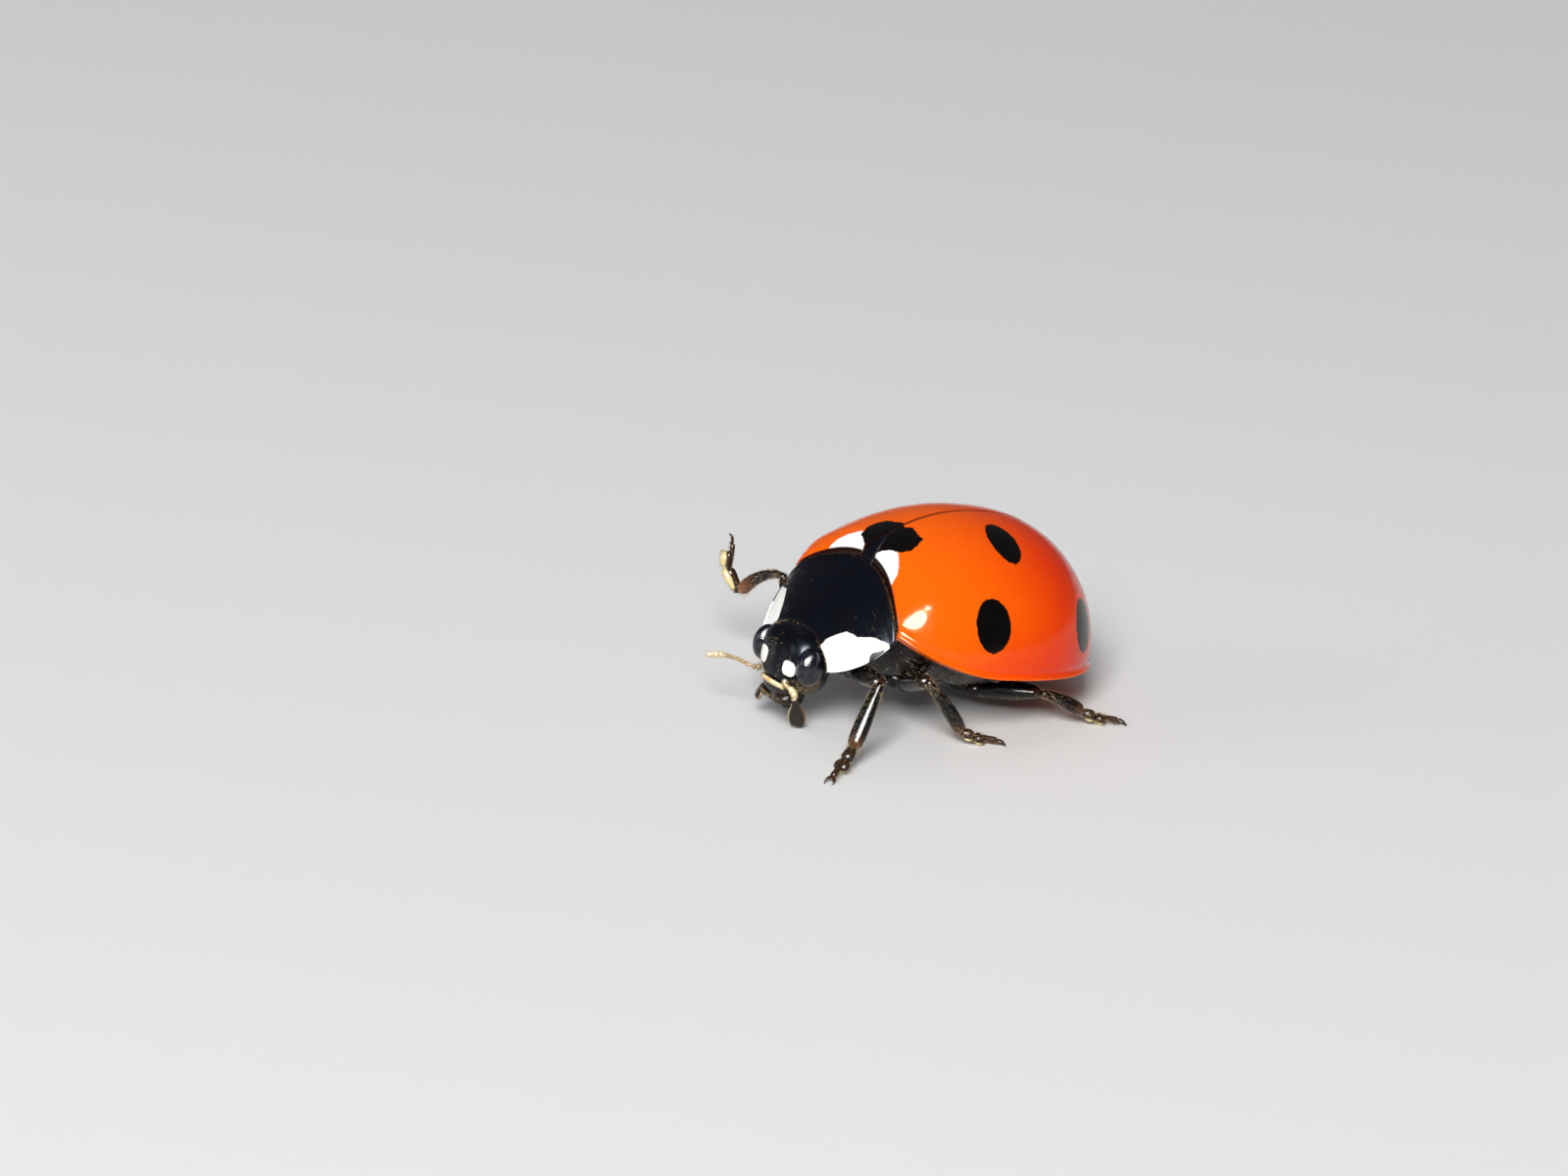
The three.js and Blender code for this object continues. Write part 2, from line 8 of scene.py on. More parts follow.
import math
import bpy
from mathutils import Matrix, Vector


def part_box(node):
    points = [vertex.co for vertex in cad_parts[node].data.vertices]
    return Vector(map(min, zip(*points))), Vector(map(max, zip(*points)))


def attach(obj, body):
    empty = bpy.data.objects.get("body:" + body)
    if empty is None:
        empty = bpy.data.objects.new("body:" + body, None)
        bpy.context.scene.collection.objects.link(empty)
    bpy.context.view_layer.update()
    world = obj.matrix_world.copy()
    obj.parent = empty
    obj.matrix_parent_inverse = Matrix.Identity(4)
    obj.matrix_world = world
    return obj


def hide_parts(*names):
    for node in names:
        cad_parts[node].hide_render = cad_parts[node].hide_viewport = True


bl_info = {
    "name": "Seven-spot Ladybird",
    "version": (1, 0, 0),
    "blender": (4, 5, 0),
    "location": "View3D > Sidebar > Ladybird",
    "description": "Builds the shell, head, limbs and hairs of a life-size ladybird",
    "category": "Add Mesh",
}

import bmesh
import bpy
import numpy as np
from bpy.props import FloatProperty, FloatVectorProperty, IntProperty, PointerProperty
from mathutils import Matrix, Vector

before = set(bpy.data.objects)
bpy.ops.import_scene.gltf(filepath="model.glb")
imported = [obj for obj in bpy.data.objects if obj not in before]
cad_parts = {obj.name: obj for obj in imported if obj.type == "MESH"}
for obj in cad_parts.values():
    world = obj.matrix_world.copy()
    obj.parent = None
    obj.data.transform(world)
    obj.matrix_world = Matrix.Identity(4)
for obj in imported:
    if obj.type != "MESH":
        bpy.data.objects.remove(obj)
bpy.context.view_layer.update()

# ---------------------------------------------------------------- body axes and frame
MM = 0.001
QUARTER = math.pi / 2
BODY_PITCH = math.radians(10)
STAND_HEIGHT = 1.42
FLOOR_SKIN = 0.02                      # height over the floor under which feet and hairs flatten
LABRUM_EDGE = (0.0, -3.76, -1.36)      # foremost and lowest point of the lip, which sets the origin

TURN = np.array([
    [1, 0, 0],
    [0, math.cos(BODY_PITCH), math.sin(BODY_PITCH)],
    [0, -math.sin(BODY_PITCH), math.cos(BODY_PITCH)],
])


def box_mm(node):
    low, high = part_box(node)
    return np.array(low) / MM, np.array(high) / MM


def find_origin():
    """The body origin in the frame: between the wing cases, and behind the lip."""
    middle = (box_mm("elytron_left")[1][0] + box_mm("elytron_right")[0][0]) / 2
    lip = box_mm("labrum")[0][1] - (TURN @ np.array(LABRUM_EDGE))[1]
    return np.array([middle, lip, STAND_HEIGHT * math.cos(BODY_PITCH)])


ORIGIN = find_origin()


def to_frame(points):
    """Points in body axes and millimetres as points of the frame in metres, pressed flat near the floor."""
    placed = np.asarray(points, float) @ TURN.T + ORIGIN
    low = np.minimum(placed[:, 2], FLOOR_SKIN)
    placed[:, 2] += FLOOR_SKIN * np.exp(low / FLOOR_SKIN - 1) - low
    return placed * MM


def floor_level(y):
    return y * math.tan(BODY_PITCH) - STAND_HEIGHT


# ---------------------------------------------------------------- form of the body
SHELL = {
    "half_width": 2.8, "front_length": 2.844, "rear_length": 3.43, "height": 2.711,
    "peak_y": 0.326, "peak_front": 3.229, "front_rise": 0.615, "rear_drop": 0.078,
    "base_y": -2.322, "front_power": 2.6, "rear_power": 2.23, "height_power": 2.48,
    "tail_power": 1.9, "cross_power": 0.95, "wall": 0.5, "base_roll": 0.16, "base_roll_length": 0.45,
}
SHIELD = {
    "rear_half_width": 2.02, "front_half_width": 1.25, "front_corner_y": -3.29, "rear_corner_y": -2.34,
    "front_middle_y": -3.22, "rear_middle_y": -2.03, "front_corner_z": -0.45, "rear_corner_z": 0.5,
    "front_middle_z": 0.1, "rear_middle_z": 1.53, "straightness": 0.55, "margin_power": 1.38,
    "cross_power": 1.45, "lobe_power": 3.6, "wall": 0.35,
}
BELLY = {"depth": 0.82, "middle_y": -0.3, "front_length": 4.6, "rear_length": 4.3, "roundness": 1.6}
TRUNK_STATIONS = {"mesothorax": -0.85, "metathorax": 0.8, "abdomen": 2.86}
HEAD = {
    "centre": np.array([0.0, -3.18, -0.58]), "half": np.array([0.85, 0.58, 0.7]), "back_y": -2.93,
    "squareness": 2.9, "chin_narrowing": 0.3, "chin_power": 1.5,
}
EYE_CENTRE = np.array([0.84, -3.42, -0.52])
EYE_RADII = np.array([0.22, 0.3, 0.38])
JOINT_GAP = 0.02

HIPS = {
    "front": ((0.38, -2.5, -0.42), (0.85, -2.45, -0.5)),
    "middle": ((0.5, -1.3, -0.6), (1.05, -1.2, -0.72)),
    "hind": ((0.42, 0.3, -0.62), (1.15, 0.42, -0.74)),
}


# ---------------------------------------------------------------- small mathematics
def mix(a, b, share):
    return a + (b - a) * share


def hump(value, centre, width):
    """A smooth hump of height 1 at the centre."""
    return np.exp(-(((value - centre) / width) ** 2))


def ramp(value, low, high):
    """0 below low, 1 above high, smooth between."""
    share = np.clip((value - low) / (high - low), 0, 1)
    return share * share * (3 - 2 * share)


def unit(vectors):
    vectors = np.asarray(vectors, float)
    return vectors / np.maximum(np.linalg.norm(vectors, axis=-1, keepdims=True), 1e-12)


def smooth_path(points, count):
    """A Catmull-Rom curve through the points, as evenly spaced as its parameter."""
    points = np.asarray(points, float)
    padded = np.vstack([2 * points[0] - points[1], points, 2 * points[-1] - points[-2]])
    place = np.linspace(0, len(points) - 1, count)
    index = np.minimum(place.astype(int), len(points) - 2)
    t = (place - index)[:, None]
    a, b, c, d = (padded[index + k] for k in range(4))
    square, cube = 2 * a - 5 * b + 4 * c - d, 3 * b - a - 3 * c + d
    return 0.5 * (2 * b + (c - a) * t + square * t ** 2 + cube * t ** 3)


def inside_outline(points, outline):
    """Signed distance of plane points to a closed outline, positive inside."""
    outline = np.asarray(outline, float)
    start, end = outline, np.roll(outline, -1, axis=0)
    nearest = np.full(points.shape[:-1], np.inf)
    inside = np.zeros(points.shape[:-1], bool)
    for (x0, y0), (x1, y1) in zip(start, end):
        edge = np.array([x1 - x0, y1 - y0])
        offset = points - np.array([x0, y0])
        share = np.clip((offset @ edge) / (edge @ edge), 0, 1)
        nearest = np.minimum(nearest, np.linalg.norm(offset - share[..., None] * edge, axis=-1))
        if y0 != y1:
            crossing = x0 + (points[..., 1] - y0) / (y1 - y0) * (x1 - x0)
            inside ^= ((points[..., 1] < y0) != (points[..., 1] < y1)) & (points[..., 0] < crossing)
    return np.where(inside, nearest, -nearest)


# ---------------------------------------------------------------- meshes
class Shape:
    """Points and faces gathered from several parts, with a number for each point where asked."""

    def __init__(self):
        self.points, self.faces, self.values, self.count = [], [], {}, 0

    def add(self, points, faces, **values):
        points = np.asarray(points, float).reshape(-1, 3)
        for name in set(values) | set(self.values):
            before = self.values.setdefault(name, [np.zeros(self.count)])
            value = np.asarray(values.get(name, 0.0), float).reshape(-1)
            before.append(np.broadcast_to(value, len(points)))
        self.faces += [tuple(int(i) + self.count for i in face) for face in faces]
        self.points.append(points)
        self.count += len(points)
        return self

    def finish(self, name, material, slot, nodes=(), uv=None):
        """Makes the piece: it rides on the root body and stands for the nodes."""
        mesh = bpy.data.meshes.new(name)
        mesh.from_pydata(to_frame(np.vstack(self.points)).tolist(), [], self.faces)
        for key, parts in self.values.items():
            layer = mesh.attributes.new(key, "FLOAT", "POINT")
            layer.data.foreach_set("value", np.concatenate(parts).astype(np.float32))
        if uv is None:
            clean(mesh)
        else:
            layer = mesh.uv_layers.new(name="OFBake")
            corners = np.zeros(len(mesh.loops), int)
            mesh.loops.foreach_get("vertex_index", corners)
            layer.data.foreach_set("uv", uv[corners].astype(np.float32).ravel())
        mesh.shade_smooth()
        mesh.materials.append(material)
        piece = bpy.data.objects.new(name, mesh)
        bpy.context.scene.collection.objects.link(piece)
        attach(piece, "root")
        if nodes:
            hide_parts(*nodes)
        return piece


def clean(mesh):
    """Welds points that coincide and turns every face outwards."""
    form = bmesh.new()
    form.from_mesh(mesh)
    bmesh.ops.remove_doubles(form, verts=form.verts, dist=2e-8)
    bmesh.ops.dissolve_degenerate(form, edges=form.edges, dist=1e-8)
    bmesh.ops.recalc_face_normals(form, faces=form.faces)
    form.to_mesh(mesh)
    form.free()


def quads(index):
    """Faces of a grid of point numbers."""
    corners = (index[:-1, :-1], index[:-1, 1:], index[1:, 1:], index[1:, :-1])
    return np.stack([c.ravel() for c in corners], -1).tolist()


def grid_normals(grid, inner_point):
    """Unit normals of a grid of points, pointing away from an inner point."""
    normals = unit(np.cross(np.gradient(grid, axis=0), np.gradient(grid, axis=1)))
    flat = np.linalg.norm(np.diff(grid, axis=1), axis=-1).max(axis=1) < 1e-6
    for row in np.flatnonzero(flat):
        normals[row] = normals[row - 1 if row else 1]
    facing = ((grid - np.asarray(inner_point)) * normals).sum(-1, keepdims=True)
    return np.where(facing < 0, -normals, normals)


def plate(outer, inner):
    """A closed body between two grids of the same size."""
    rows, columns = outer.shape[:2]
    top = np.arange(rows * columns).reshape(rows, columns)
    bottom = top + rows * columns
    faces = quads(top) + quads(bottom[:, ::-1])
    walls = (
        (top[0], bottom[0]), (bottom[-1], top[-1]), (bottom[:, 0], top[:, 0]), (top[:, -1], bottom[:, -1]),
    )
    for wall in walls:
        faces += quads(np.stack(wall))
    return np.vstack([outer.reshape(-1, 3), inner.reshape(-1, 3)]), faces


def loft(rings):
    """A closed body through closed rings of points, with a fan over each end."""
    rings = np.asarray(rings)
    rows, columns = rings.shape[:2]
    index = np.arange(rows * columns).reshape(rows, columns)
    faces = quads(np.hstack([index, index[:, :1]]))
    first, last = rows * columns, rows * columns + 1
    for j in range(columns):
        k = (j + 1) % columns
        faces += [(first, index[0, k], index[0, j]), (last, index[-1, j], index[-1, k])]
    ends = np.stack([rings[0].mean(0), rings[-1].mean(0)])
    return np.vstack([rings.reshape(-1, 3), ends]), faces


def tube(points, radii, rings=36, sides=20, flat=1.0, up=(0, 0, 1), blunt=1.0):
    """A round-ended tube along a smooth path. flat squeezes it towards up, blunt shortens its ends."""
    centres = smooth_path(points, rings)
    steps = np.linalg.norm(np.diff(centres, axis=0), axis=1)
    run = np.concatenate([[0], np.cumsum(steps)])
    radius = np.interp(np.linspace(0, 1, rings), np.linspace(0, 1, len(radii)), radii)
    for distance, end in ((run, radius[0]), (run[-1] - run, radius[-1])):
        depth = np.clip(distance / (end * blunt), 0, 1)
        radius = radius * np.sqrt(np.clip(1 - (1 - depth) ** 2, 1e-4, 1))
    tangent = unit(np.gradient(centres, axis=0))
    side = unit(np.cross(np.asarray(up, float), tangent))
    rise = np.cross(tangent, side)
    turn = np.linspace(0, 2 * math.pi, sides, endpoint=False)[None, :, None]
    wide = radius[:, None, None]
    ring = centres[:, None] + wide * (np.cos(turn) * side[:, None] + flat * np.sin(turn) * rise[:, None])
    return loft(ring)


def ellipsoid(centre, radii, rows=24, columns=36):
    polar = np.linspace(0, math.pi, rows)[:, None]
    around = np.linspace(0, 2 * math.pi, columns, endpoint=False)[None]
    sphere = np.stack([
        np.sin(polar) * np.cos(around), np.sin(polar) * np.sin(around), np.cos(polar) + 0 * around,
    ], -1)
    return loft(np.asarray(centre) + sphere * np.asarray(radii))


# ---------------------------------------------------------------- surfaces
def base_station(angle):
    """Station of the base of the wing cases, drawn back over the middle."""
    bow = SHIELD["rear_middle_y"] - SHIELD["rear_corner_y"]
    arch = np.maximum(0, np.sin(angle)) ** SHIELD["lobe_power"]
    return SHIELD["rear_corner_y"] + bow * arch + JOINT_GAP


def dome_width(y, inset=0.0):
    front = np.clip(-y / SHELL["front_length"], 0, 1) ** SHELL["front_power"]
    rear = np.clip(y / (SHELL["rear_length"] - inset), 0, 1) ** SHELL["rear_power"]
    narrowing = np.where(y < 0, (1 - front) ** (1 / SHELL["front_power"]), np.sqrt(1 - rear))
    return (SHELL["half_width"] - inset) * narrowing


def dome_margin(y, inset=0.0):
    front = SHELL["front_rise"] * (y / SHELL["base_y"]) ** 2
    rear = np.clip(y / (SHELL["rear_length"] - inset), 0, 1)
    return np.where(y < 0, front, -SHELL["rear_drop"] * rear ** 2)


def dome_ridge(y, inset=0.0):
    run = y - SHELL["peak_y"]
    front = SHELL["height"] * np.sqrt(np.clip(1 - (run / SHELL["peak_front"]) ** 2, 0, 1)) - inset
    share = np.clip(run / (SHELL["rear_length"] - inset - SHELL["peak_y"]), 0, 1) ** SHELL["height_power"]
    fall = (SHELL["height"] - inset + SHELL["rear_drop"]) * (1 - share) ** (1 / SHELL["tail_power"])
    return np.where(run < 0, front, fall - SHELL["rear_drop"])


def dome_point(y, angle, inset=0.0):
    """A point of the dome: angle runs from the left margin over the ridge to the right margin."""
    y, angle = np.broadcast_arrays(np.asarray(y, float), np.asarray(angle, float))
    margin = dome_margin(y, inset)
    from_base = np.maximum(0, 1 - (y - base_station(angle)) / SHELL["base_roll_length"])
    ridge = dome_ridge(y, inset) - SHELL["base_roll"] * from_base ** 2
    lift = np.maximum(0, ridge - margin) * np.maximum(0, np.sin(angle)) ** SHELL["cross_power"]
    return np.stack([dome_width(y, inset) * np.cos(angle), y, margin + lift], -1)


def shield_point(share, angle, inset=0.0):
    """A point of the pronotum: share runs from its front edge to its rear edge."""
    share, angle = np.broadcast_arrays(np.asarray(share, float), np.asarray(angle, float))
    bulge = np.sin(share * QUARTER)
    width = mix(SHIELD["front_half_width"], SHIELD["rear_half_width"], bulge) - inset
    margin = mix(SHIELD["front_corner_z"], SHIELD["rear_corner_z"], share ** SHIELD["margin_power"])
    climb = mix(bulge, share, SHIELD["straightness"])
    ridge = mix(SHIELD["front_middle_z"], SHIELD["rear_middle_z"], climb) - inset
    corner = mix(SHIELD["front_corner_y"], SHIELD["rear_corner_y"], share)
    middle = mix(SHIELD["front_middle_y"], SHIELD["rear_middle_y"], share)
    arch = np.maximum(0, np.sin(angle))
    y = mix(corner, middle, arch ** mix(1, SHIELD["lobe_power"], share))
    z = margin + (ridge - margin) * arch ** SHIELD["cross_power"]
    return np.stack([width * np.cos(angle), y, z], -1)


def belly_level(y):
    run = y - BELLY["middle_y"]
    reach = np.where(run < 0, BELLY["front_length"], BELLY["rear_length"])
    return -BELLY["depth"] * (1 - (run / reach) ** 2)


def body_ring(upper, scale=1.0, count=72):
    """A closed ring: over the back along upper(angle), then below from right to left."""
    angle = np.linspace(0, math.pi, count)
    above = upper(angle)
    left, right = above[0], above[-1]
    y = mix(right[1], left[1], angle / math.pi)
    sag = (left[2] - belly_level(y)) * scale * np.sin(angle) ** BELLY["roundness"]
    below = np.stack([-left[0] * np.cos(angle), y, left[2] - sag], -1)
    return np.vstack([above, below[1:-1]])


def trunk_ring(y, scale=1.0, follow=0.0):
    """A ring of the trunk under the wing cases; follow bends it like the edge of the pronotum."""
    def upper(angle):
        station = y + follow * (base_station(angle) - base_station(0.0))
        return dome_point(station, angle, SHELL["wall"] + JOINT_GAP)
    return body_ring(upper, scale)


def head_directions(polar, around):
    across, rise = np.sin(polar) * np.sin(around), np.sin(polar) * np.cos(around)
    return np.stack([across, -np.cos(polar) + 0 * around, rise], -1)


def head_point(polar, around):
    """A point of the squared globe of the head: polar is 0 in the middle of the face."""
    direction = head_directions(polar, around)
    power = HEAD["squareness"]
    stretch = 1 / (np.abs(direction) ** power).sum(-1, keepdims=True) ** (1 / power)
    narrow = 1 - HEAD["chin_narrowing"] * np.maximum(0, -direction[..., 2]) ** HEAD["chin_power"]
    point = direction * stretch
    point[..., 0] *= narrow
    return HEAD["centre"] + point * HEAD["half"]


# ---------------------------------------------------------------- materials
class Nodes:
    """A material's nodes, made one call at a time."""

    def __init__(self, name):
        self.material = bpy.data.materials.new(name)
        self.material.use_nodes = True
        self.tree = self.material.node_tree
        self.tree.nodes.clear()
        self.place = self.add("ShaderNodeTexCoord").outputs["Object"]

    def add(self, kind, inputs=None, **settings):
        node = self.tree.nodes.new(kind)
        for key, value in settings.items():
            setattr(node, key, value)
        for key, value in (inputs or {}).items():
            if isinstance(value, bpy.types.NodeSocket):
                self.tree.links.new(value, node.inputs[key])
            else:
                node.inputs[key].default_value = value
        return node

    def attribute(self, name):
        return self.add("ShaderNodeAttribute", attribute_name=name).outputs["Fac"]

    def math(self, operation, a, b=0.0, c=0.0):
        return self.add("ShaderNodeMath", {0: a, 1: b, 2: c}, operation=operation).outputs[0]

    def noise(self, per_mm, detail=3.0, roughness=0.5):
        settings = {"Vector": self.place, "Scale": per_mm / MM, "Detail": detail, "Roughness": roughness}
        return self.add("ShaderNodeTexNoise", settings).outputs["Fac"]

    def cells(self, per_mm, smooth=True):
        settings = {"Vector": self.place, "Scale": per_mm / MM}
        feature = "SMOOTH_F1" if smooth else "F1"
        return self.add("ShaderNodeTexVoronoi", settings, feature=feature).outputs["Distance"]

    def steps(self, value, low, high, out_low=0.0, out_high=1.0):
        inputs = {"Value": value, "From Min": low, "From Max": high, "To Min": out_low, "To Max": out_high}
        settings = {"clamp": True, "interpolation_type": "SMOOTHSTEP"}
        return self.add("ShaderNodeMapRange", inputs, **settings).outputs[0]

    def blend(self, share, a, b):
        node = self.add("ShaderNodeMix", data_type="RGBA")
        for key, value in ((0, share), (6, a), (7, b)):
            if isinstance(value, bpy.types.NodeSocket):
                self.tree.links.new(value, node.inputs[key])
            else:
                node.inputs[key].default_value = value if key == 0 else (*value[:3], 1.0)
        return node.outputs[2]

    def edge(self, name, ragged, softness=0.006, per_mm=9.0):
        """A mask that is 1 inside a marking, whose edge wanders by ragged millimetres."""
        wander = self.math("MULTIPLY", self.math("SUBTRACT", self.noise(per_mm, 4.0, 0.6), 0.5), 2 * ragged)
        return self.steps(self.math("ADD", self.attribute(name), wander), -softness, softness)

    def bump(self, height, depth_mm, strength=1.0, normal=None):
        inputs = {"Height": height, "Distance": depth_mm * MM, "Strength": strength}
        if normal is not None:
            inputs["Normal"] = normal
        return self.add("ShaderNodeBump", inputs).outputs[0]

    def surface(self, colour, roughness, normal=None, **sockets):
        inputs = {"Base Color": colour, "Roughness": roughness}
        if normal is not None:
            inputs["Normal"] = normal
        inputs.update({key.replace("_", " "): value for key, value in sockets.items()})
        shader = self.add("ShaderNodeBsdfPrincipled", inputs)
        self.add("ShaderNodeOutputMaterial", {"Surface": shader.outputs[0]})
        return self.material


def wing_case_finish(shell):
    """Orange-red shell with black spots, pale marks at the base and fine pits. The orange-to-red gradient is
    painted light and shade, and the dark colour along the suture and the base is painted shade.
    """
    nodes = Nodes("wing_case")
    cloud = nodes.math("MULTIPLY", nodes.math("SUBTRACT", nodes.noise(0.55, 3.0), 0.5), 0.5)
    # The tone attribute carries painted light and shade; the cloud noise adds random tone.
    tone = nodes.math("ADD", nodes.attribute("tone"), cloud)
    red = nodes.blend(nodes.steps(tone, 0.0, 1.0), shell.orange, shell.red)
    grain = nodes.steps(nodes.noise(16.0, 4.0, 0.65), 0.35, 0.75)
    red = nodes.blend(nodes.math("MULTIPLY", grain, 0.16), red, shell.red_deep)
    rim = nodes.math("MULTIPLY", nodes.attribute("rim"), 0.6)
    red = nodes.blend(rim, red, shell.rim_colour)
    pale = nodes.edge("pale", shell.raggedness / MM * 0.7, 0.02)
    red = nodes.blend(pale, red, shell.pale)
    spot = nodes.edge("spot", shell.raggedness / MM, 0.008)
    colour = nodes.blend(spot, red, shell.black)
    # Painted shade: the shell darkens in the gap of the suture and on the wall at its base, where shade
    # falls between the wing cases and under the pronotum.
    colour = nodes.blend(nodes.attribute("seam"), colour, shell.seam)
    pits = nodes.steps(nodes.cells(19.0), 0.03, 0.22)
    normal = nodes.bump(pits, shell.pit_depth / MM)
    normal = nodes.bump(nodes.noise(2.2, 2.0), 0.012, 0.5, normal)
    rough = nodes.steps(nodes.noise(6.0), 0.3, 0.7, 0.16, 0.22)
    return nodes.surface(
        colour, rough, normal, Coat_Weight=0.2, Coat_Roughness=0.05, Specular_IOR_Level=0.22,
        Specular_Tint=(1.0, 0.76, 0.48, 1.0),
    )


def shield_finish(shield, name="shield_black", pit_scale=15.0, mark_edge=0.018):
    """Bluish-black polished cuticle with pale marks, punctures and a brownish edge."""
    nodes = Nodes(name)
    haze = nodes.steps(nodes.noise(1.4, 4.0), 0.3, 0.75)
    black = nodes.blend(haze, shield.black, shield.blue_black)
    black = nodes.blend(nodes.math("MULTIPLY", nodes.attribute("edge"), 0.55), black, shield.edge_brown)
    mark = nodes.edge("mark", mark_edge, 0.01, 13.0)
    warm = nodes.blend(nodes.steps(nodes.noise(3.0), 0.35, 0.7), shield.pale, shield.pale_warm)
    colour = nodes.blend(mark, black, warm)
    pits = nodes.steps(nodes.cells(pit_scale), 0.03, 0.2)
    clear = nodes.math("SUBTRACT", 1.0, nodes.math("MULTIPLY", mark, 0.8))
    normal = nodes.bump(pits, 0.0034, clear)
    normal = nodes.bump(nodes.noise(50.0, 2.0), 0.0012, 0.8, normal)
    rough = nodes.steps(nodes.noise(8.0), 0.3, 0.7, 0.27, 0.32)
    return nodes.surface(
        colour, rough, normal, Coat_Weight=0.05, Coat_Roughness=0.06, Specular_IOR_Level=0.2,
        Specular_Tint=(0.72, 0.84, 1.0, 1.0),
    )


def underside_finish(limbs):
    """Satin black plates, browner along their edges, with a net of fine lines."""
    nodes = Nodes("underside_black")
    haze = nodes.steps(nodes.noise(1.7, 4.0), 0.3, 0.75, 0.0, 0.2)
    colour = nodes.blend(haze, limbs.black, limbs.brown)
    colour = nodes.blend(nodes.math("MULTIPLY", nodes.attribute("edge"), 0.35), colour, limbs.brown)
    net = nodes.steps(nodes.cells(17.0), 0.05, 0.4)
    normal = nodes.bump(net, 0.005)
    rough = nodes.steps(nodes.noise(9.0), 0.3, 0.7, 0.26, 0.4)
    return nodes.surface(colour, rough, normal, Specular_IOR_Level=0.3)


def leg_finish(limbs):
    """Black legs, dark brown towards the joints and feet, finely wrinkled."""
    nodes = Nodes("leg_black")
    warm = nodes.math("ADD", nodes.attribute("warm"), nodes.math("MULTIPLY", nodes.noise(4.0), 0.3))
    colour = nodes.blend(nodes.steps(warm, 0.25, 1.1), limbs.black, limbs.brown)
    colour = nodes.blend(nodes.attribute("thin"), colour, limbs.rust)
    colour = nodes.blend(nodes.attribute("pad"), colour, limbs.pad)
    wrinkle = nodes.noise(26.0, 4.0, 0.6)
    normal = nodes.bump(wrinkle, 0.003, 0.8)
    rough = nodes.steps(nodes.noise(11.0), 0.3, 0.7, 0.16, 0.28)
    gloss = {"Coat_Weight": 0.1, "Coat_Roughness": 0.1, "Specular_IOR_Level": 0.32}
    return nodes.surface(colour, rough, normal, **gloss)


def eye_finish(head):
    """Very glossy black facets with a cold sheen."""
    nodes = Nodes("eye_black")
    colour = nodes.blend(nodes.steps(nodes.noise(5.0), 0.35, 0.7), head.eye_black, head.eye_blue)
    rough = nodes.steps(nodes.noise(12.0), 0.3, 0.7, 0.08, 0.16)
    normal = nodes.bump(nodes.noise(40.0), 0.0006, 0.5)
    gloss = {"Coat_Weight": 0.5, "Coat_Roughness": 0.05, "Specular_IOR_Level": 0.5}
    return nodes.surface(colour, rough, normal, **gloss)


def feeler_finish(limbs, name="feeler_amber", dark=0.0):
    """Amber feelers, darker at the joints and towards the palps' plates."""
    nodes = Nodes(name)
    tone = nodes.math("ADD", nodes.attribute("tone"), nodes.math("MULTIPLY", nodes.noise(9.0), 0.25))
    colour = nodes.blend(nodes.steps(tone, 0.1, 1.1), limbs.amber, limbs.brown)
    colour = nodes.blend(nodes.steps(tone, 0.8, 1.1, 0.0, 0.75), colour, limbs.black)
    colour = nodes.blend(nodes.attribute("pale"), colour, limbs.pale_amber)
    normal = nodes.bump(nodes.noise(36.0, 4.0, 0.6), 0.004, 0.8)
    rough = nodes.steps(nodes.noise(15.0), 0.3, 0.7, 0.26 + dark, 0.42 + dark)
    return nodes.surface(colour, rough, normal)


def lip_finish(head):
    """Black lip under a pale yellow edge of the face."""
    nodes = Nodes("lip")
    dark = nodes.blend(nodes.steps(nodes.noise(4.0), 0.3, 0.7), head.lip_black, head.lip_brown)
    pale = nodes.blend(nodes.steps(nodes.noise(7.0, 3.0), 0.38, 0.6), head.lip_pale, head.lip_orange)
    colour = nodes.blend(nodes.edge("mark", 0.01, 0.01, 16.0), dark, pale)
    normal = nodes.bump(nodes.noise(30.0, 4.0, 0.6), 0.004, 0.8)
    rough = nodes.steps(nodes.noise(9.0), 0.3, 0.7, 0.22, 0.36)
    return nodes.surface(colour, rough, normal)


def hair_finish(name, dark, light):
    """Translucent hairs, lighter towards the tip."""
    nodes = Nodes(name)
    tone = nodes.math("ADD", nodes.attribute("tip"), nodes.math("MULTIPLY", nodes.noise(2.5), 0.5))
    colour = nodes.blend(nodes.steps(tone, 0.1, 1.2), dark, light)
    rough = nodes.steps(nodes.noise(20.0), 0.3, 0.7, 0.3, 0.45)
    return nodes.surface(colour, rough)


# ---------------------------------------------------------------- settings
def length(label, description, default_mm, high_mm=5.0):
    """A length property, given in millimetres and kept in metres."""
    return FloatProperty(
        name=label, description=description, default=default_mm * MM, min=0.0, max=high_mm * MM,
        unit="LENGTH", precision=6,
    )


def colour(label, description, default):
    return FloatVectorProperty(
        name=label, description=description, default=default, size=3, min=0.0, max=1.0, subtype="COLOR",
    )


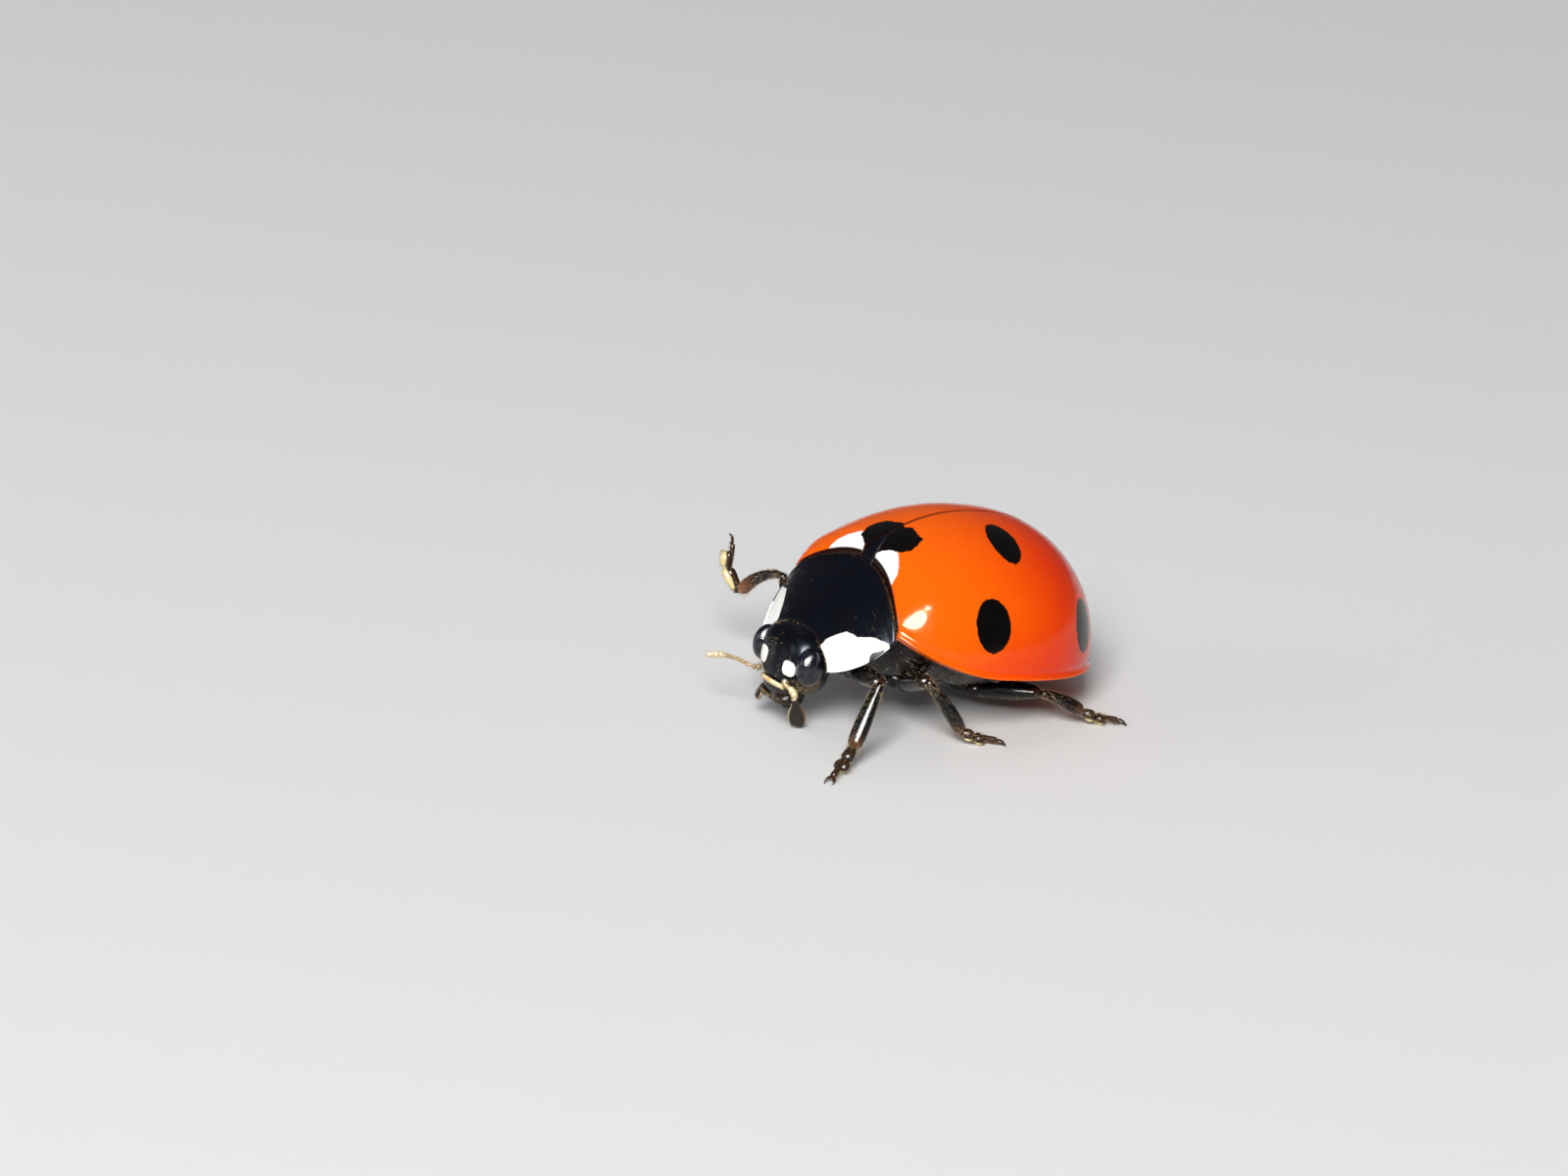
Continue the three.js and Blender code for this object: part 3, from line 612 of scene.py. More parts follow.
class LadybirdShellSettings(bpy.types.PropertyGroup):
    """Sizes and colours of the wing cases."""

    rim_height: length("Rim height", "How far the bead along the side margin stands out", 0.045, 0.2)
    rim_width: length("Rim width", "Width of the bead along the side margin", 0.05, 0.2)
    shoulder: length("Shoulder", "Height of the swelling on each shoulder", 0.05, 0.2)
    suture_gap: length("Suture gap", "Gap between the two wing cases", 0.012, 0.1)
    pit_depth: length("Pit depth", "Depth of the fine pits", 0.001, 0.02)
    raggedness: length("Raggedness", "How far the edges of the spots wander", 0.035, 0.2)
    # The shell's orange and red are spread as painted light and shade: orange at the shoulders for the glow
    # round the highlight, and red towards the rear.
    orange: colour("Orange", "Colour near the shoulders", (0.96, 0.132, 0.0008))
    red: colour("Red", "Colour of the middle and the rear", (0.86, 0.031, 0.0004))
    red_deep: colour("Deep red", "Colour in the grain", (0.55, 0.02, 0.001))
    rim_colour: colour("Rim", "Colour of the side margin", (0.95, 0.14, 0.003))
    pale: colour("Pale", "Colour of the marks beside the scutellum", (0.96, 0.95, 0.91))
    black: colour("Black", "Colour of the spots", (0.0012, 0.001, 0.0014))
    # Painted shade: the colour laid in the gap of the suture and on the base wall.
    seam: colour("Seam", "Colour along the suture and the base", (0.014, 0.0018, 0.002))


class LadybirdShieldSettings(bpy.types.PropertyGroup):
    """Sizes and colours of the pronotum, the scutellum and the head's cuticle."""

    bead: length("Bead", "Height of the bead along the edges", 0.03, 0.2)
    black: colour("Black", "Main colour", (0.0010, 0.0010, 0.0022))
    blue_black: colour("Blue black", "Colour in the haze", (0.0014, 0.0016, 0.006))
    edge_brown: colour("Edge brown", "Colour of the thin edges", (0.035, 0.016, 0.007))
    pale: colour("Pale", "Colour of the corner marks", (0.96, 0.96, 0.94))
    pale_warm: colour("Warm pale", "Colour in the corner marks' clouds", (0.93, 0.91, 0.84))


class LadybirdHeadSettings(bpy.types.PropertyGroup):
    """Sizes and colours of the face."""

    facet_height: length("Facet height", "How far each facet of the eye bulges", 0.0035, 0.05)
    spot_radius: length("Spot radius", "Half width of the pale spots on the face", 0.165, 0.4)
    eye_black: colour("Eye black", "Colour of the eyes", (0.0025, 0.0025, 0.004))
    eye_blue: colour("Eye blue", "Colour in the eyes' sheen", (0.006, 0.008, 0.02))
    lip_black: colour("Lip black", "Colour of the lip", (0.006, 0.006, 0.012))
    lip_brown: colour("Lip brown", "Colour in the lip's clouds", (0.03, 0.014, 0.006))
    lip_pale: colour("Lip pale", "Colour of the face's front edge", (0.92, 0.82, 0.48))
    lip_orange: colour("Lip orange", "Colour in the front edge's clouds", (0.84, 0.48, 0.14))


class LadybirdLimbSettings(bpy.types.PropertyGroup):
    """Sizes and colours of the legs, feelers, palps and underside."""

    femur: length("Femur", "Largest radius of the femur", 0.25, 0.5)
    tibia: length("Tibia", "Largest radius of the tibia", 0.175, 0.5)
    tarsus: length("Tarsus", "Largest radius of the tarsus", 0.14, 0.5)
    claw: length("Claw", "Length of a claw", 0.2, 0.5)
    feeler: length("Feeler", "Radius of the thin stretch of a feeler", 0.036, 0.2)
    club: length("Club", "Radius of a feeler's club", 0.085, 0.2)
    black: colour("Black", "Main colour of the legs", (0.0018, 0.0015, 0.0016))
    brown: colour("Brown", "Colour of joints, feet and thin edges", (0.045, 0.020, 0.007))
    pad: colour("Pad", "Colour of the pads under the feet", (0.82, 0.68, 0.34))
    rust: colour("Rust", "Colour of the shins' ends", (0.34, 0.125, 0.05))
    amber: colour("Amber", "Colour of the feelers", (0.42, 0.24, 0.06))
    # Pale amber is the clubs' own colour; along the edges of the palps' plates it is a painted highlight.
    pale_amber: colour("Pale amber", "Colour of the feelers' clubs and thin edges", (0.82, 0.70, 0.40))


class LadybirdHairSettings(bpy.types.PropertyGroup):
    """Sizes and colours of the hairs."""

    width: length("Width", "Radius of a hair at its root", 0.004, 0.05)
    seed: IntProperty(name="Seed", description="Start of the hairs' random draw", default=7, min=0)
    gold: colour("Gold", "Colour of the tips", (0.80, 0.55, 0.22))
    gold_dark: colour("Dark gold", "Colour of the roots", (0.30, 0.16, 0.05))
    silver: colour("Silver", "Colour of the pale hairs' tips", (0.75, 0.72, 0.66))


class LadybirdStageSettings(bpy.types.PropertyGroup):
    """Camera, lights and floor."""

    lens: FloatProperty(name="Lens", description="Focal length in millimetres", default=205.96, min=20.0)
    distance: length("Distance", "From the body origin to the camera", 183.6, 2000.0)
    floor: colour("Floor", "Colour of the floor", (0.80, 0.80, 0.79))
    key: FloatProperty(
        name="Key light", description="Power of the key light", default=1.0, min=0.0, unit="POWER",
    )
    fill: FloatProperty(
        name="Fill light", description="Power of the fill light", default=0.14, min=0.0, unit="POWER",
    )
    world: FloatProperty(name="World light", description="Strength of the sky", default=0.10, min=0.0)


# ---------------------------------------------------------------- wing cases
SCUTELLUM_HALF, SCUTELLUM_LENGTH = 0.2, 0.42
SCUTELLUM_FRONT = SHIELD["rear_middle_y"] + JOINT_GAP
SPOTS = (                              # station, angle in degrees, half length, half width
    (0.36, 63.5, 0.34, 0.58),          # beside the suture
    (-0.42, 22.5, 0.41, 0.56),         # towards the side margin
    (2.28, 25.0, 0.42, 0.56),          # behind
)
SCUTELLAR_SPOT = {                     # outlines in plan beside the suture
    1: (
        (-0.1, -2.3), (0.13, -2.3), (0.16, -2.02), (0.29, -1.91), (0.50, -1.82), (0.68, -1.79),
        (0.80, -1.72), (0.88, -1.60), (0.84, -1.45), (0.79, -1.36), (0.74, -1.25), (0.60, -1.28),
        (0.42, -1.25), (0.27, -1.23), (0.12, -1.33), (-0.1, -1.28),
    ),
    -1: (
        (-0.1, -2.3), (0.20, -2.3), (0.22, -2.0), (0.31, -1.93), (0.47, -1.87), (0.60, -1.84),
        (0.66, -1.69), (0.61, -1.52), (0.46, -1.38), (0.24, -1.32), (0.10, -1.26), (-0.1, -1.27),
    ),
}
PALE_MARK = (
    (0.1, -2.4), (0.12, -2.0), (0.29, -1.9), (0.50, -1.80), (0.68, -1.78), (0.82, -1.83),
    (0.99, -1.91), (1.13, -2.0), (1.18, -2.1), (1.22, -2.4),
)
SHOULDER_PLACE = (-1.78, 30)           # station, angle in degrees
SHOULDER_REACH = np.array([0.42, 0.5, 0.45])
SUTURE_ROLL, BASE_ROLL = 0.018, 0.025  # how far the outer face turns in at the suture and at the base
FLANGE_COLUMNS = 16                    # columns of the face turned in under the side margin
# These first rows and columns of the inner face, where it shows at the base and in the suture, are painted
# wholly in shade.
SHADED_ROWS, SHADED_COLUMNS = 24, 6        # rows and columns of the inner face that show at the base and suture
INNER_VALUES = {"spot": -1.0, "pale": -1.0, "tone": 0.4, "rim": 0.9, "seam": 0.0}


def spot_field(points, station, degrees, half_length, half_width, side):
    """Signed distance to the edge of an oval spot, in its own tangent plane."""
    angle = math.radians(degrees)
    centre = dome_point(station, angle)
    along = unit(dome_point(station + 0.01, angle) - centre)
    across = unit(dome_point(station, angle + 0.01) - centre)
    flip = np.array([side, 1, 1])
    offset = points * flip - centre
    reach = np.sqrt(((offset @ along) / half_length) ** 2 + ((offset @ across) / half_width) ** 2)
    return (1 - reach) * min(half_length, half_width)


def scutellum_width(y):
    """Half width of the scutellum at a station, 0 behind its tip."""
    share = np.clip((y - SCUTELLUM_FRONT) / SCUTELLUM_LENGTH, 0, 1)
    return SCUTELLUM_HALF * (1 - share) ** 0.75


def even_ends(count, ease=0.08):
    """Shares from 0 to 1, set closer together at both ends."""
    share = np.linspace(0, 1, count)
    return share - ease * np.sin(2 * math.pi * share)


def shell_stations(rows):
    """Shares of a wing case's length from base to tip, closer together at both ends."""
    return np.sin(QUARTER * np.linspace(0, 1, rows) ** 1.35)


def wing_case_surface(shell, side, rows=200, columns=140):
    """Outer grid of one wing case from the suture to the margin, with its markings."""
    rim, rim_width = shell.rim_height / MM, shell.rim_width / MM
    angle = (QUARTER * (1 - even_ends(columns)))[None]
    base = base_station(angle)
    y = base + (SHELL["rear_length"] - base) * shell_stations(rows)[:, None]
    grid = dome_point(y, angle)
    normals = grid_normals(grid, (0, 0, -0.5))
    above = grid[..., 2] - dome_margin(grid[..., 1])
    detail = rim * hump(above, 0.015, rim_width) - 0.4 * rim * hump(above, 2.7 * rim_width, 1.1 * rim_width)
    station, degrees = SHOULDER_PLACE
    offset = grid - dome_point(station, math.radians(degrees))
    detail += shell.shoulder / MM * np.exp(-np.linalg.norm(offset / SHOULDER_REACH, axis=-1) ** 2)
    inner_edge = shell.suture_gap / MM / 2 + scutellum_width(grid[..., 1]) * (grid[..., 1] < -1.5)
    detail -= SUTURE_ROLL * hump(grid[..., 0], inner_edge, 0.025) + BASE_ROLL * hump(y - base, 0, 0.03)
    grid = grid + normals * detail[..., None]
    grid[..., 0] = np.maximum(grid[..., 0], inner_edge)
    grid = grid * np.array([side, 1, 1])
    plan = np.stack([side * grid[..., 0], grid[..., 1]], -1)
    spot = inside_outline(plan, SCUTELLAR_SPOT[side])
    for place in SPOTS:
        spot = np.maximum(spot, spot_field(grid, *place, side))
    values = {
        "spot": spot,
        "pale": inside_outline(plan, PALE_MARK),
        # Painted light and shade: lighter orange at the front and shoulders as painted glow round the
        # highlight, and deeper red towards the rear and the side margin as painted shade.
        "tone": 0.08 + 0.8 * ramp(grid[..., 1], -2.0, 2.6) + 0.2 * ramp(-above, -1.2, -0.1),
        "rim": hump(above, 0, 1.5 * rim_width),
        # Painted shade along the gap of the suture and down the base wall.
        "seam": np.maximum(hump(plan[..., 0], inner_edge, 0.03), 1 - ramp(y - base, 0.0, 0.02)),
    }
    return grid, values


def build_wing_case(shell, side, name, material):
    """A wing case: its marked outer face, the flange under its margin and its inner face."""
    grid, values = wing_case_surface(shell, side)
    rows, columns = grid.shape[0], grid.shape[1] + FLANGE_COLUMNS
    share = np.linspace(0, 1, FLANGE_COLUMNS + 1)[1:][None, :, None]
    station = shell_stations(rows)
    inner_base = base_station(0.0)
    inner_y = inner_base + (SHELL["rear_length"] - SHELL["wall"] - inner_base) * station
    inner_margin = dome_point(inner_y, 0 * inner_y, SHELL["wall"]) * np.array([side, 1, 1])
    flange = mix(grid[:, -1:], inner_margin[:, None], share)
    flange[..., 2] -= 0.04 * np.sin(math.pi * share[..., 0]) + 0.03 * np.sin(math.pi * share[..., 0]) ** 8
    outer = np.concatenate([grid, flange], axis=1)
    angle = (QUARTER * (1 - np.linspace(0, 1, columns)))[None]
    base = base_station(angle)
    y = base + (SHELL["rear_length"] - SHELL["wall"] - base) * station[:, None]
    inner = dome_point(y, angle, SHELL["wall"])
    inner[..., 0] = np.maximum(inner[..., 0], shell.suture_gap / MM / 2) * side
    inner[..., 2] += 0.04
    points, faces = plate(outer, inner)
    fields = {}
    for key, value in values.items():
        within = np.full((rows, columns), INNER_VALUES[key])
        padded = np.hstack([value, within[:, :FLANGE_COLUMNS]])
        # The inner face at the base and beside the suture gets the painted shade.
        if key == "seam":
            within[:SHADED_ROWS] = 1.0
            within[:, :SHADED_COLUMNS] = 1.0
        fields[key] = np.concatenate([padded.ravel(), within.ravel()])
    node = f"elytron_{name.split('_')[-1]}"
    Shape().add(points, faces, **fields).finish(name, material, "wing_case", [node])


class LADYBIRD_OT_wing_cases(bpy.types.Operator):
    """Builds the two spotted wing cases"""

    bl_idname = "ladybird.wing_cases"
    bl_label = "Wing cases"

    def execute(self, context):
        shell = context.scene.ladybird_shell
        material = wing_case_finish(shell)
        for name, side in (("left", 1), ("right", -1)):
            build_wing_case(shell, side, f"wing_case_{name}", material)
        return {"FINISHED"}


# ---------------------------------------------------------------- pronotum and scutellum
CORNER_MARKS = {                       # share from the front edge, degrees up from the side margin
    1: (
        (-0.05, -6), (-0.05, 50), (0.08, 56), (0.20, 53), (0.33, 49), (0.44, 38), (0.65, 29), (0.80, 17),
        (0.88, 8), (0.89, -6), (0.64, -6), (0.64, 2.2), (0.81, 2.6), (0.79, 8), (0.70, 11), (0.61, 14),
        (0.575, 12), (0.565, 4), (0.545, -6),
    ),
    -1: (
        (-0.05, -6), (-0.05, 40), (0.10, 43), (0.24, 41), (0.40, 38), (0.54, 34), (0.66, 24), (0.78, 12),
        (0.80, 5), (0.62, 8), (0.57, -6),
    ),
}
SHARE_MM = 1.3                         # millimetres for each whole share of the pronotum's length
DEGREE_MM = 0.034                      # and for each degree round it


def rear_rise(share, angle):
    """How far the pronotum rises towards its rear edge, to meet the wing cases."""
    return 0.03 * ramp(share, 0.6, 1.0) * np.sin(angle) ** 0.5


def shield_surface(shield, rows=130, columns=260):
    """Outer grid of the pronotum, with the distance of each point to its nearest edge."""
    share = even_ends(rows, 0.06)[:, None]
    angle = (math.pi * even_ends(columns, 0.07))[None]
    grid = shield_point(share, angle)
    normals = grid_normals(grid, (0, -2.6, -0.8))
    across = np.minimum(angle, math.pi - angle) / math.pi * 180 * DEGREE_MM
    front, rear = share * SHARE_MM, (1 - share) * SHARE_MM
    bead = shield.bead / MM
    detail = bead * hump(across, 0.02, 0.035) - 0.5 * bead * hump(across, 0.11, 0.045)
    detail = detail + 0.5 * bead * hump(front, 0.02, 0.03) - 0.4 * bead * hump(front, 0.08, 0.04)
    detail = detail - 0.02 * hump(rear, 0, 0.02) + 0.03 * hump(rear, 0.04, 0.09)
    grid = grid + normals * detail[..., None]
    grid[..., 2] += rear_rise(share, angle)
    edge = np.minimum(np.minimum(front, rear), across)
    return grid, normals, share, angle, edge


def corner_field(share, angle):
    """Signed distance to the edge of the pale corner marks."""
    degrees = np.degrees(angle)
    share, degrees = np.broadcast_arrays(share, degrees)
    scale = np.array([SHARE_MM, DEGREE_MM])
    field = np.full(share.shape, -1.0)
    for side, outline in CORNER_MARKS.items():
        up = degrees if side > 0 else 180 - degrees
        place = np.stack([share, up], -1) * scale
        field = np.maximum(field, inside_outline(place, np.array(outline) * scale))
    return field


def build_shield(shield, material):
    grid, normals, share, angle, edge = shield_surface(shield)
    thickness = 0.05 + (SHIELD["wall"] - 0.05) * ramp(edge, 0, 0.4)
    inner = grid - normals * thickness[..., None]
    points, faces = plate(grid, inner)
    mark = corner_field(share, angle)
    thin = hump(edge, 0, 0.035)
    return Shape().add(
        points, faces,
        mark=np.concatenate([mark.ravel(), np.full(mark.size, -1.0)]),
        edge=np.concatenate([thin.ravel(), np.zeros(thin.size)]),
    ).finish("pronotum_shield", material, "black_shield", ["pronotum"])


def build_scutellum(material):
    """The little triangle between the wing cases."""
    rows, columns = 36, 28
    share = np.linspace(0, 1, rows)[:, None]
    across = np.linspace(-1, 1, columns)[None]
    y = SCUTELLUM_FRONT + SCUTELLUM_LENGTH * share + 0 * across
    ridge = dome_point(y, QUARTER)[..., 2]
    crown = 0.02 * (1 - across ** 2) - 0.03 * np.abs(across) ** 6 - 0.07 * (1 - ramp(share, 0, 0.2))
    outer = np.stack([scutellum_width(y) * across, y, ridge + crown - 0.03], -1)
    inner = outer - np.array([0, 0, 0.3])
    points, faces = plate(outer, inner)
    Shape().add(points, faces, mark=-1.0, edge=0.0).finish(
        "scutellum_plate", material, "black_shield", ["scutellum"])


class LADYBIRD_OT_pronotum(bpy.types.Operator):
    """Builds the pronotum with its pale corners, and the scutellum behind it"""

    bl_idname = "ladybird.pronotum"
    bl_label = "Pronotum"

    def execute(self, context):
        material = shield_finish(context.scene.ladybird_shield)
        build_shield(context.scene.ladybird_shield, material)
        build_scutellum(material)
        return {"FINISHED"}


# ---------------------------------------------------------------- underside
def build_prothorax(material):
    inset = SHIELD["wall"] + JOINT_GAP
    shares = np.linspace(0.3, 0.97, 40)
    rings = [body_ring(lambda angle, s=s: shield_point(s, angle, inset)) for s in shares]
    edge = np.repeat(hump(shares, 0.97, 0.06), len(rings[0]))
    points, faces = loft(rings)
    Shape().add(points, faces, edge=np.append(edge, [0, 0])).finish(
        "prothorax_under", material, "underside", ["prothorax"])


def build_trunk(name, material, start, end, rings=60, steps=1, follow=False):
    """One division of the trunk, with a lapped hind edge at each of its steps."""
    share = np.linspace(0, 1, rings)
    lap = (share * steps) % 1.0
    lap[-1] = 1.0
    bodies, edge = [], []
    for s, part in zip(share, lap):
        scale = 1 - 0.05 * (1 - ramp(part, 0.0, 0.22)) + 0.012 * hump(part, 0.93, 0.06)
        bodies.append(trunk_ring(mix(start, end, s), scale, max(0, 1 - 2 * s) if follow else 0.0))
        edge.append(hump(part, 0.97, 0.05))
    ring = np.array(bodies)
    below = np.maximum(0, -(ring[..., 2] - ring[:, :1, 2]))
    ring[..., 2] += 0.035 * hump(ring[..., 0], 0, 0.05) * ramp(below, 0.2, 0.6)
    points, faces = loft(ring)
    values = np.append(np.repeat(edge, ring.shape[1]), [0, 0])
    Shape().add(points, faces, edge=values).finish(f"{name}_under", material, "underside", [name])


class LADYBIRD_OT_underside(bpy.types.Operator):
    """Builds the four divisions of the underside"""

    bl_idname = "ladybird.underside"
    bl_label = "Underside"

    def execute(self, context):
        material = underside_finish(context.scene.ladybird_limbs)
        stations = TRUNK_STATIONS
        build_prothorax(material)
        front = float(base_station(0.0)) + JOINT_GAP
        build_trunk("mesothorax", material, front, stations["mesothorax"] - JOINT_GAP, follow=True)
        build_trunk("metathorax", material, stations["mesothorax"], stations["metathorax"] - JOINT_GAP)
        build_trunk("abdomen", material, stations["metathorax"], stations["abdomen"], 120, steps=5)
        return {"FINISHED"}


# ---------------------------------------------------------------- head
FACE_SPOTS = {1: ((0.49, -3.65, -0.64), (1.0, 1.4, 0.96)), -1: ((-0.43, -3.66, -0.62), (1.05, 1.4, 1.1))}


def head_surface(head, rows=120, columns=200):
    last = math.pi - math.acos((HEAD["back_y"] - HEAD["centre"][1]) / HEAD["half"][1])
    polar = np.linspace(0.004, last, rows)[:, None]
    around = np.linspace(0, 2 * math.pi, columns, endpoint=False)[None]
    grid = head_point(polar, around)
    normals = unit(unit(grid - HEAD["centre"]) / HEAD["half"])
    side = np.abs(grid[..., 0])
    z = grid[..., 2]
    folded = np.stack([side, grid[..., 1], z], -1)
    front = ramp(-grid[..., 1], 3.3, 3.5)
    detail = -0.02 * hump(z, -1.0, 0.035) * ramp(-side, -0.5, -0.35) * front
    detail -= 0.07 * np.exp(-(np.linalg.norm(folded - [0.5, -3.6, -0.95], axis=-1) / 0.11) ** 2)
    detail -= 0.018 * hump(side, 0.22, 0.16) * hump(z, -0.42, 0.25) * front
    detail += 0.012 * hump(side, 0.0, 0.12) * hump(z, -0.7, 0.3) * front
    socket = np.linalg.norm((folded - EYE_CENTRE) / (EYE_RADII * 1.12), axis=-1)
    detail -= 0.04 * (1 - ramp(socket, 0.85, 1.06))
    grid = grid + normals * detail[..., None]
    mark = np.full(side.shape, -1.0)
    radius = head.spot_radius / MM
    for centre, stretch in FACE_SPOTS.values():
        offset = np.abs(grid - centre) / np.array(stretch) / radius
        mark = np.maximum(mark, (1 - (offset ** 2.8).sum(-1) ** (1 / 2.8)) * radius)
    return grid, normals, mark


def build_head(head, material):
    grid, _, mark = head_surface(head)
    points, faces = loft(grid)
    Shape().add(points, faces, mark=np.append(mark.ravel(), [-1, -1]), edge=0.0).finish(
        "head_capsule", material, "black_shield", ["head"])


def geodesic(subdivisions):
    """Points and triangles of an icosphere of radius 1."""
    form = bmesh.new()
    bmesh.ops.create_icosphere(form, subdivisions=subdivisions, radius=1.0)
    form.verts.ensure_lookup_table()
    points = np.array([v.co[:] for v in form.verts])
    faces = [tuple(v.index for v in f.verts) for f in form.faces]
    form.free()
    return points, faces


def build_eye(head, side, name, material):
    """A compound eye: one low dome for each facet."""
    centres, _ = geodesic(4)
    points, faces = geodesic(6)
    nearness = np.max(points @ centres.T, axis=1)
    angle = np.arccos(np.clip(nearness, -1, 1))
    facet = 0.5 * math.sqrt(4 * math.pi / len(centres))
    dome = np.clip(1 - (angle / facet) ** 2, -0.4, 1)
    radii = EYE_RADII[None] + head.facet_height / MM * dome[:, None]
    placed = (EYE_CENTRE + points * radii) * np.array([side, 1, 1])
    Shape().add(placed, faces).finish(name, material, "eye", [f"eye_{name.split('_')[-1]}"])


class LADYBIRD_OT_head(bpy.types.Operator):
    """Builds the head and its compound eyes"""

    bl_idname = "ladybird.head"
    bl_label = "Head"

    def execute(self, context):
        head = context.scene.ladybird_head
        skin = shield_finish(context.scene.ladybird_shield, "head_black", 17.0, 0.012)
        build_head(head, skin)
        eyes = eye_finish(head)
        for name, side in (("left", 1), ("right", -1)):
            build_eye(head, side, f"compound_eye_{name}", eyes)
        return {"FINISHED"}


# ---------------------------------------------------------------- mouth
def build_labrum(material):
    """The lip: a pale beaded upper edge over a dark plate that rolls back below."""
    rows, columns = 56, 90
    share = np.linspace(0, 1, rows)[:, None]
    across = even_ends(columns, 0.05)[None] * 2 - 1
    half = 0.47 * (1 - 0.42 * share ** 2.4)
    x = half * across
    z = mix(-1.0, -1.37, share) - 0.04 * across ** 2 * (1 - share)
    y = -3.755 + 0.13 * across ** 2 + 0.16 * share ** 3 + 0 * x
    bead = 0.035 * hump(share, 0.14, 0.1) - 0.015 * hump(share, 0.4, 0.08)
    outer = np.stack([x, y - bead, z + 0 * x], -1)
    inner = outer + np.array([0, 0.2, 0.0])
    inner[..., 1] -= 0.14 * ramp(np.abs(across), 0.8, 1) + 0.14 * ramp(share, 0.8, 1)
    points, faces = plate(outer, inner)
    mark = 0.052 - 0.37 * np.abs(share - 0.15) - 0.1 * ramp(np.abs(across), 0.86, 1)
    Shape().add(points, faces, mark=np.concatenate([mark.ravel(), np.full(mark.size, -1.0)])).finish(
        "lip", material, "lip", ["labrum"])


def build_mouthparts(material):
    """Mandibles, maxillae and labium below the lip."""
    shape = Shape()
    shape.add(*ellipsoid((0, -3.2, -1.28), (0.4, 0.3, 0.24)), edge=0.2)
    shape.add(*ellipsoid((0, -3.3, -1.44), (0.2, 0.24, 0.12)), edge=0.5)
    for side in (1, -1):
        mandible = [(0.36, -3.3, -1.28), (0.36, -3.5, -1.34), (0.24, -3.62, -1.38), (0.06, -3.66, -1.4)]
        maxilla = [(0.3, -3.1, -1.3), (0.32, -3.24, -1.42), (0.28, -3.4, -1.48), (0.2, -3.5, -1.46)]
        flip = np.array([side, 1, 1])
        shape.add(*tube(np.array(mandible) * flip, [0.11, 0.12, 0.08, 0.03], 30, 18), edge=0.7)
        shape.add(*tube(np.array(maxilla) * flip, [0.09, 0.11, 0.08, 0.04], 30, 18), edge=0.4)
    shape.finish("mouthparts_under", material, "underside", ["mouthparts"])


# The joints of each palp, its plate's end and the direction in which that plate is wide. The left plate lies
# broadside to the camera.
AXE_PLATE = {
    "left": {
        "joints": ((0.4, -3.36, -1.16), (0.5, -3.44, -1.24), (0.48, -3.38, -1.3)),
        "end": (0.38, -3.1, -1.9), "lie": (0.5383, 0.8173, 0.2054),
    },
    "right": {
        "joints": ((-0.4, -3.4, -1.2), (-0.47, -3.5, -1.26), (-0.5, -3.5, -1.28)),
        "end": (-0.5, -3.62, -1.62), "lie": (0.9, -0.3, 0.1),
    },
}


def build_palp(name, material):
    """A maxillary palp: short joints and a last one shaped like an axe."""
    form = AXE_PLATE[name]
    joints, end = np.array(form["joints"]), np.array(form["end"])
    shape = Shape()
    for a, b, radius in zip(joints[:-1], joints[1:], (0.07, 0.08)):
        joint = tube([a, mix(a, b, 0.5), b], [0.6 * radius, radius, 0.8 * radius], 18, 16)
        shape.add(*joint, tone=0.3, pale=0.3)
    rows, columns = 44, 40
    axis = end - joints[-1]
    lie = unit(np.array(form["lie"]) - unit(axis) * (unit(axis) @ np.array(form["lie"])))
    thin = unit(np.cross(axis, lie))
    share = np.linspace(0, 1, rows)[:, None]
    turn = np.linspace(0, 2 * math.pi, columns, endpoint=False)[None]
    blunt = np.sqrt(np.clip(1 - ramp(share, 0.72, 1.04) ** 2, 0.02, 1))
    width = (0.055 + 0.125 * ramp(share, 0, 0.62)) * blunt
    skew = 0.16 * (share - 0.5) * np.cos(turn)
    depth = 0.052 * np.sqrt(np.clip(1 - (2 * share - 1) ** 8, 0.04, 1))
    run = share + 0.5 * skew * ramp(share, 0.4, 1)
    rim = np.sign(np.cos(turn)) * np.abs(np.cos(turn)) ** 0.8
    ring = joints[-1] + run[..., None] * axis
    ring = ring + (width * rim)[..., None] * lie + (depth * np.sin(turn))[..., None] * thin
    points, faces = loft(ring)
    # Painted highlights along the plate's two long edges: pale amber down one edge and lighter brown down
    # the other.
    pale = 0.8 * (hump(np.cos(turn), -1, 0.16) + 0 * share)
    tone = 0.95 - 0.5 * hump(np.cos(turn), 1, 0.2) + 0 * share
    shape.add(points, faces, tone=np.append(tone.ravel(), [0.9, 0.9]), pale=np.append(pale.ravel(), [0, 0]))
    shape.finish(f"palp_joints_{name}", material, "feeler", [f"palp_{name}"])


class LADYBIRD_OT_mouth(bpy.types.Operator):
    """Builds the lip, the mouthparts and the axe-shaped palps"""

    bl_idname = "ladybird.mouth"
    bl_label = "Mouth"

    def execute(self, context):
        limbs = context.scene.ladybird_limbs
        build_labrum(lip_finish(context.scene.ladybird_head))
        build_mouthparts(underside_finish(limbs))
        material = feeler_finish(limbs, "palp_brown", -0.1)
        for name in AXE_PLATE:
            build_palp(name, material)
        return {"FINISHED"}


